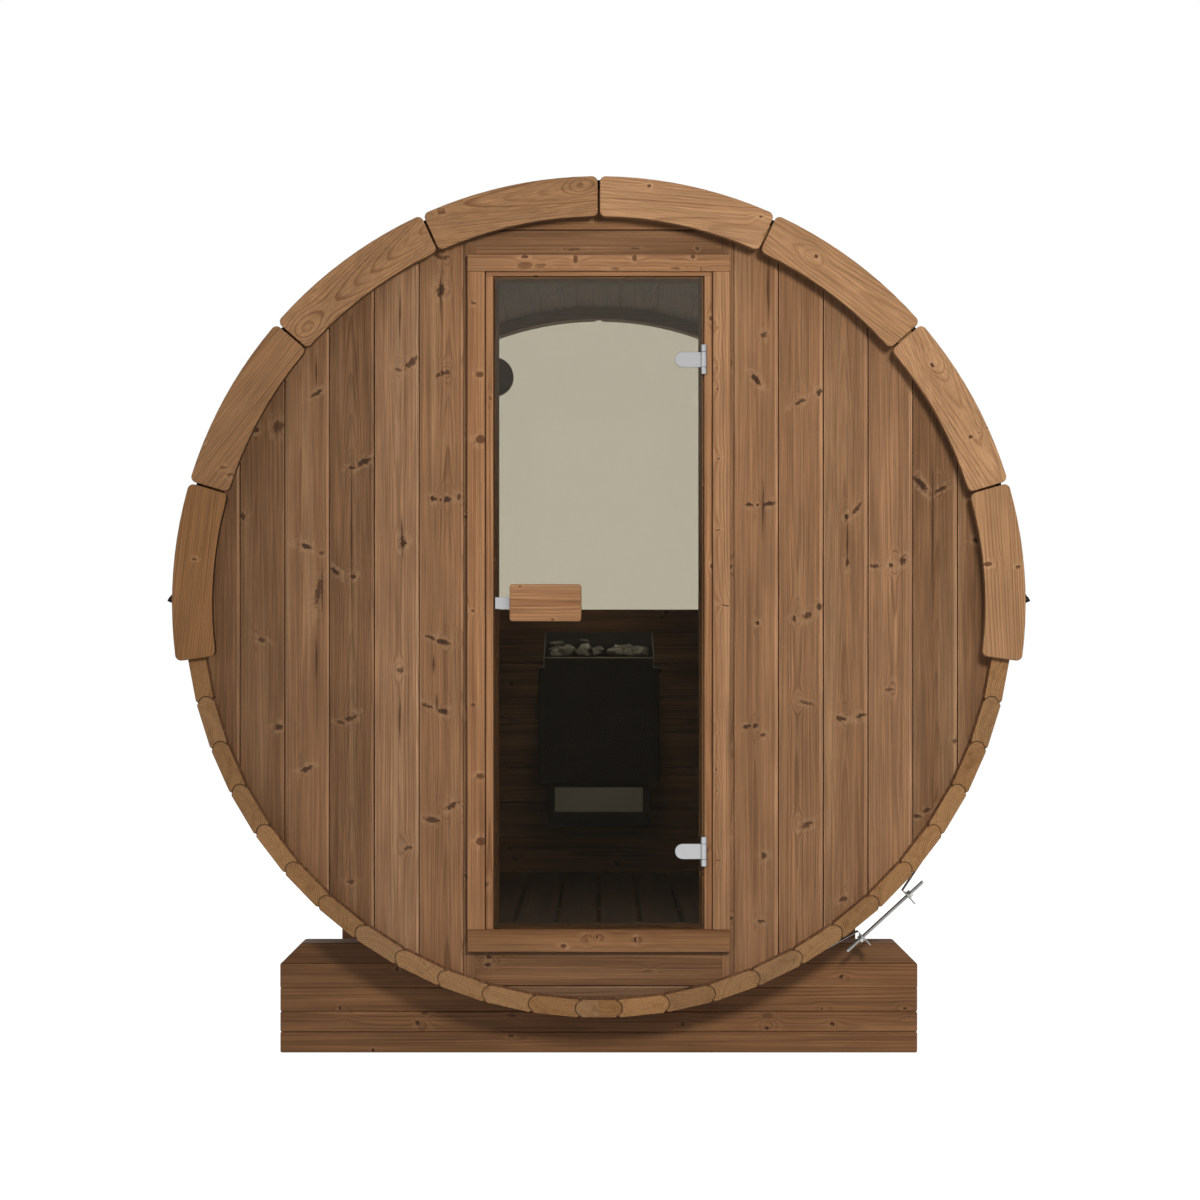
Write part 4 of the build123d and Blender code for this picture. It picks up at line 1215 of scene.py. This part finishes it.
def rocks():
    made = []
    rng = random.Random("stones")
    lo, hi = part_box("heater_stones")
    for tier, i, j in itertools.product(range(ROCK_TIERS), range(ROCKS_ACROSS), range(ROCKS_DEEP)):
        size = rng.uniform(0.027, 0.037)
        x = lo.x + (i + 0.5 + rng.uniform(-0.2, 0.2)) * (hi.x - lo.x) / ROCKS_ACROSS
        y = lo.y + (j + 0.5 + rng.uniform(-0.2, 0.2)) * (hi.y - lo.y) / ROCKS_DEEP
        top = PILE_FRONT + PILE_RISE * (y - lo.y) / (hi.y - lo.y)
        z = top - 0.012 - TIER_STEP * (ROCK_TIERS - 1 - tier) + rng.uniform(-0.008, 0.008)
        x = max(lo.x + size, min(hi.x - size, x))
        y = max(lo.y + size, min(hi.y - size, y))
        stretch = Vector((rng.uniform(0.85, 1.25), rng.uniform(0.8, 1.1), rng.uniform(0.75, 1.0)))
        turn = Matrix.Rotation(rng.uniform(0, 6.28), 3, "Z") @ Matrix.Rotation(rng.uniform(-0.5, 0.5), 3, "X")
        bm = bmesh.new()
        for _ in range(ROCK_CORNERS):
            p = Vector([rng.gauss(0, 1) for _ in range(3)]).normalized() * rng.uniform(0.85, 1.0)
            bm.verts.new(turn @ (p * stretch * size) + Vector((x, y, z)))
        hull = bmesh.ops.convex_hull(bm, input=bm.verts[:])
        loose = [v for v in hull["geom_interior"] if isinstance(v, bmesh.types.BMVert)]
        bmesh.ops.delete(bm, geom=loose, context="VERTS")
        bmesh.ops.recalc_face_normals(bm, faces=bm.faces)
        bmesh.ops.dissolve_limit(bm, angle_limit=math.radians(12), verts=bm.verts[:], edges=bm.edges[:])
        soften(bm, 0.0016, angle=14)
        add_mood(bm, bm.faces, seed=rng.random())
        made.append(bm)
    show("heater_rocks", made, (stone,), "barrel", ("heater_stones",), 34)


rocks()

# Roof: the bare courses, shingle tabs laid over them, bent caps along the ridge and a drip along the eaves
for node in ("left_roof", "right_roof", "roof_ridge"):
    plain_node(node, felt, 0.0006, 1)
ROOF_COURSES, TAB_COUNT = 10, 6
TAB_LENGTH = (REAR - FRONT) / TAB_COUNT
TAB_GAP = 0.003
# Degrees that a tab starts above its course's butt, and that it is shorter than the course
TAB_START, TAB_TRIM = 0.15, 0.35
ROOF_GAP = 0.0015
FELT_THICK = 0.0032
# Radii of a course at its butt and where the next course laps it
BUTT_RADIUS, LAP_RADIUS = 1.0093, 1.0053
EAVES_START = 90 + math.degrees(math.asin(0.029 / 0.9983))
CAP_COUNT, CAP_HALF, CAP_RADIUS = 12, 5.7, 1.0099
SIDE_NAMES = {1: "right", -1: "left"}


def felt_slab(rings, rng):
    bm = loft(rings)
    soften(bm, 0.0009, 1, 50)
    add_mood(bm, bm.faces, seed=rng.random())
    return bm


def roof_tabs(side):
    made = []
    rng = random.Random(f"tabs {side}")
    step = (180 - EAVES_START) / ROOF_COURSES
    for course in range(ROOF_COURSES):
        angle = EAVES_START + course * step
        odd = course % 2
        for k in range(TAB_COUNT + odd):
            y = FRONT + (k - 0.5 * odd) * TAB_LENGTH
            low = max(FRONT + ROOF_GAP, y + TAB_GAP)
            high = min(REAR - ROOF_GAP, y + TAB_LENGTH - TAB_GAP)
            lift = rng.uniform(0.0, 0.0012)
            drop = rng.uniform(-0.1, 0.05)
            rings = []
            for share in (0.0, 0.25, 0.5, 0.75, 1.0):
                a = math.radians(angle + drop + TAB_START + (step - TAB_TRIM) * share)
                out = Vector((side * math.sin(a), 0, -math.cos(a)))
                sag = math.cos(math.radians(step / 2)) / math.cos(math.radians(step * (share - 0.5)))
                r = (BUTT_RADIUS + (LAP_RADIUS - BUTT_RADIUS) * share) * (sag if 0 < share < 1 else 1) + 0.0003
                top = r + FELT_THICK + lift * (1 - share)
                rings.append([CENTRE + out * d + Y * w for d, w in ((r, low), (top, low), (top, high), (r, high))])
            made.append(felt_slab(rings, rng))
    show(SIDE_NAMES[side] + "_shingles", made, (felt,), "barrel", (), 30)


def ridge_caps():
    """Each cap has its front edge raised over the next."""
    made = []
    rng = random.Random("ridge")
    pitch = (REAR - FRONT - 2 * ROOF_GAP) / CAP_COUNT
    for k in range(CAP_COUNT):
        low = FRONT + ROOF_GAP + pitch * k
        high = low + pitch - 0.001
        r, butt = CAP_RADIUS, CAP_RADIUS + rng.uniform(0.002, 0.0032)
        section = ((butt, low), (butt + FELT_THICK, low), (r + FELT_THICK, high), (r, high))
        rings = []
        for i in range(9):
            a = math.radians(180 + CAP_HALF * (i / 4 - 1))
            out = Vector((math.sin(a), 0, -math.cos(a)))
            rings.append([CENTRE + out * d + Y * w for d, w in section])
        made.append(felt_slab(rings, rng))
    show("ridge_caps", made, (felt,), "barrel", (), 30)


# Outline of the drip, out from the eaves and up
DRIP_OUTLINE = (
    (-0.006, 0.046), (0.0025, 0.046), (0.027, 0.014), (0.029, 0.0105), (0.0265, 0.0085), (0.004, 0.0), (-0.004, 0.002)
)
DRIP_RADIUS, DRIP_REACH, DRIP_DROP, DRIP_STEPS = 1.0075, 0.029, 0.004, 60


def drip(side):
    rings = []
    for i in range(DRIP_STEPS + 1):
        y = FRONT + 0.002 + (REAR - FRONT - 0.004) * i / DRIP_STEPS
        sway = 0.0012 * noise.noise(Vector((side * 3.0, y * 5.0, 0.3)))
        rings.append([
            (side * (DRIP_RADIUS + x + sway * x / DRIP_REACH), y, AXIS_Z + z - DRIP_DROP + sway)
            for x, z in DRIP_OUTLINE
        ])
    show(SIDE_NAMES[side] + "_drip", [loft(rings)], (felt,), "barrel", (), 30)


for side in SIDE_NAMES:
    roof_tabs(side)
ridge_caps()
for side in SIDE_NAMES:
    drip(side)

# Floor of the studio, white where it is seen, with the object's shadow on it
FLOOR_GREY = (0.45, 0.45, 0.45, 1)
FLOOR_GLOW = 0.86
floor_mesh = bpy.data.meshes.new("studio_floor")
bm = bmesh.new()
bmesh.ops.create_grid(bm, x_segments=1, y_segments=1, size=40)
bm.to_mesh(floor_mesh)
bm.free()
floor = bpy.data.objects.new("studio_floor", floor_mesh)
floor.location = (0, 0, -0.0005)
scene.collection.objects.link(floor)
floor_material, g = new_material("studio_floor")
matte = g.make("ShaderNodeBsdfDiffuse", {"Color": FLOOR_GREY})
glow = g.make("ShaderNodeEmission", {"Strength": FLOOR_GLOW})
both = g.make("ShaderNodeAddShader", {0: matte, 1: glow})
g.end(g.make("ShaderNodeMixShader", {0: g.seen(), 1: matte, 2: both}))
floor_mesh.materials.append(floor_material)

# World: soft studio light, white where it is seen directly, in glass or in metal
WORLD_LIGHT = 0.31
WHITE = (1, 1, 1, 1)
world = bpy.data.worlds.new("studio")
scene.world = world
world.use_nodes = True
g = Graph(world.node_tree)
soft, white = (g.make("ShaderNodeBackground", {"Color": WHITE, "Strength": s}) for s in (WORLD_LIGHT, 1.0))
g.end(g.make("ShaderNodeMixShader", {0: g.seen(), 1: soft, 2: white}), "ShaderNodeOutputWorld")


def area(name, place, target, size, power, *hidden):
    """A square lamp; hidden names the kinds of ray, besides the camera's, that don't show it."""
    data = bpy.data.lights.new(name, "AREA")
    data.shape = "SQUARE"
    data.size = size
    data.energy = power
    obj = bpy.data.objects.new(name, data)
    obj.location = place
    obj.rotation_mode = "QUATERNION"
    obj.rotation_quaternion = (Vector(target) - Vector(place)).to_track_quat("-Z", "Y")
    for kind in ("camera",) + hidden:
        setattr(obj, f"visible_{kind}", False)
    scene.collection.objects.link(obj)
    return data


area("key", (0.95, -4.6, 2.15), (0.05, -0.9, 1.1), 0.55, 102, "glossy")
area("fill", (-4.2, -5.5, 2.2), (0, -0.9, 1.0), 3.5, 25)
area("back", (-2.6, 5.6, 4.2), (0, 0.9, 1.2), 3.5, 130, "transmission")
for side in (-1, 1):
    area(f"side_{side}", (5.2 * side, 1.6, 2.8), (0, 0.2, 1.1), 3.0, 48, "transmission")
inside = area("inside", (0, 0.42, 1.75), (0, 0.72, 1.0), 0.25, 0.18, "glossy", "transmission")
inside.spread = math.radians(30)

# Camera in front of the door, a little below the barrel's axis
camera_data = bpy.data.cameras.new("camera")
camera_data.lens = 78.12
camera_data.sensor_width = 36
camera_data.shift_x = 0.001
camera_data.shift_y = 0.0433
camera_data.clip_end = 200
camera = bpy.data.objects.new("camera", camera_data)
camera.location = (0, -7.22, 0.985)
camera.rotation_euler = (math.radians(90), 0, 0)
scene.collection.objects.link(camera)
scene.camera = camera
scene.view_settings.view_transform = "Standard"
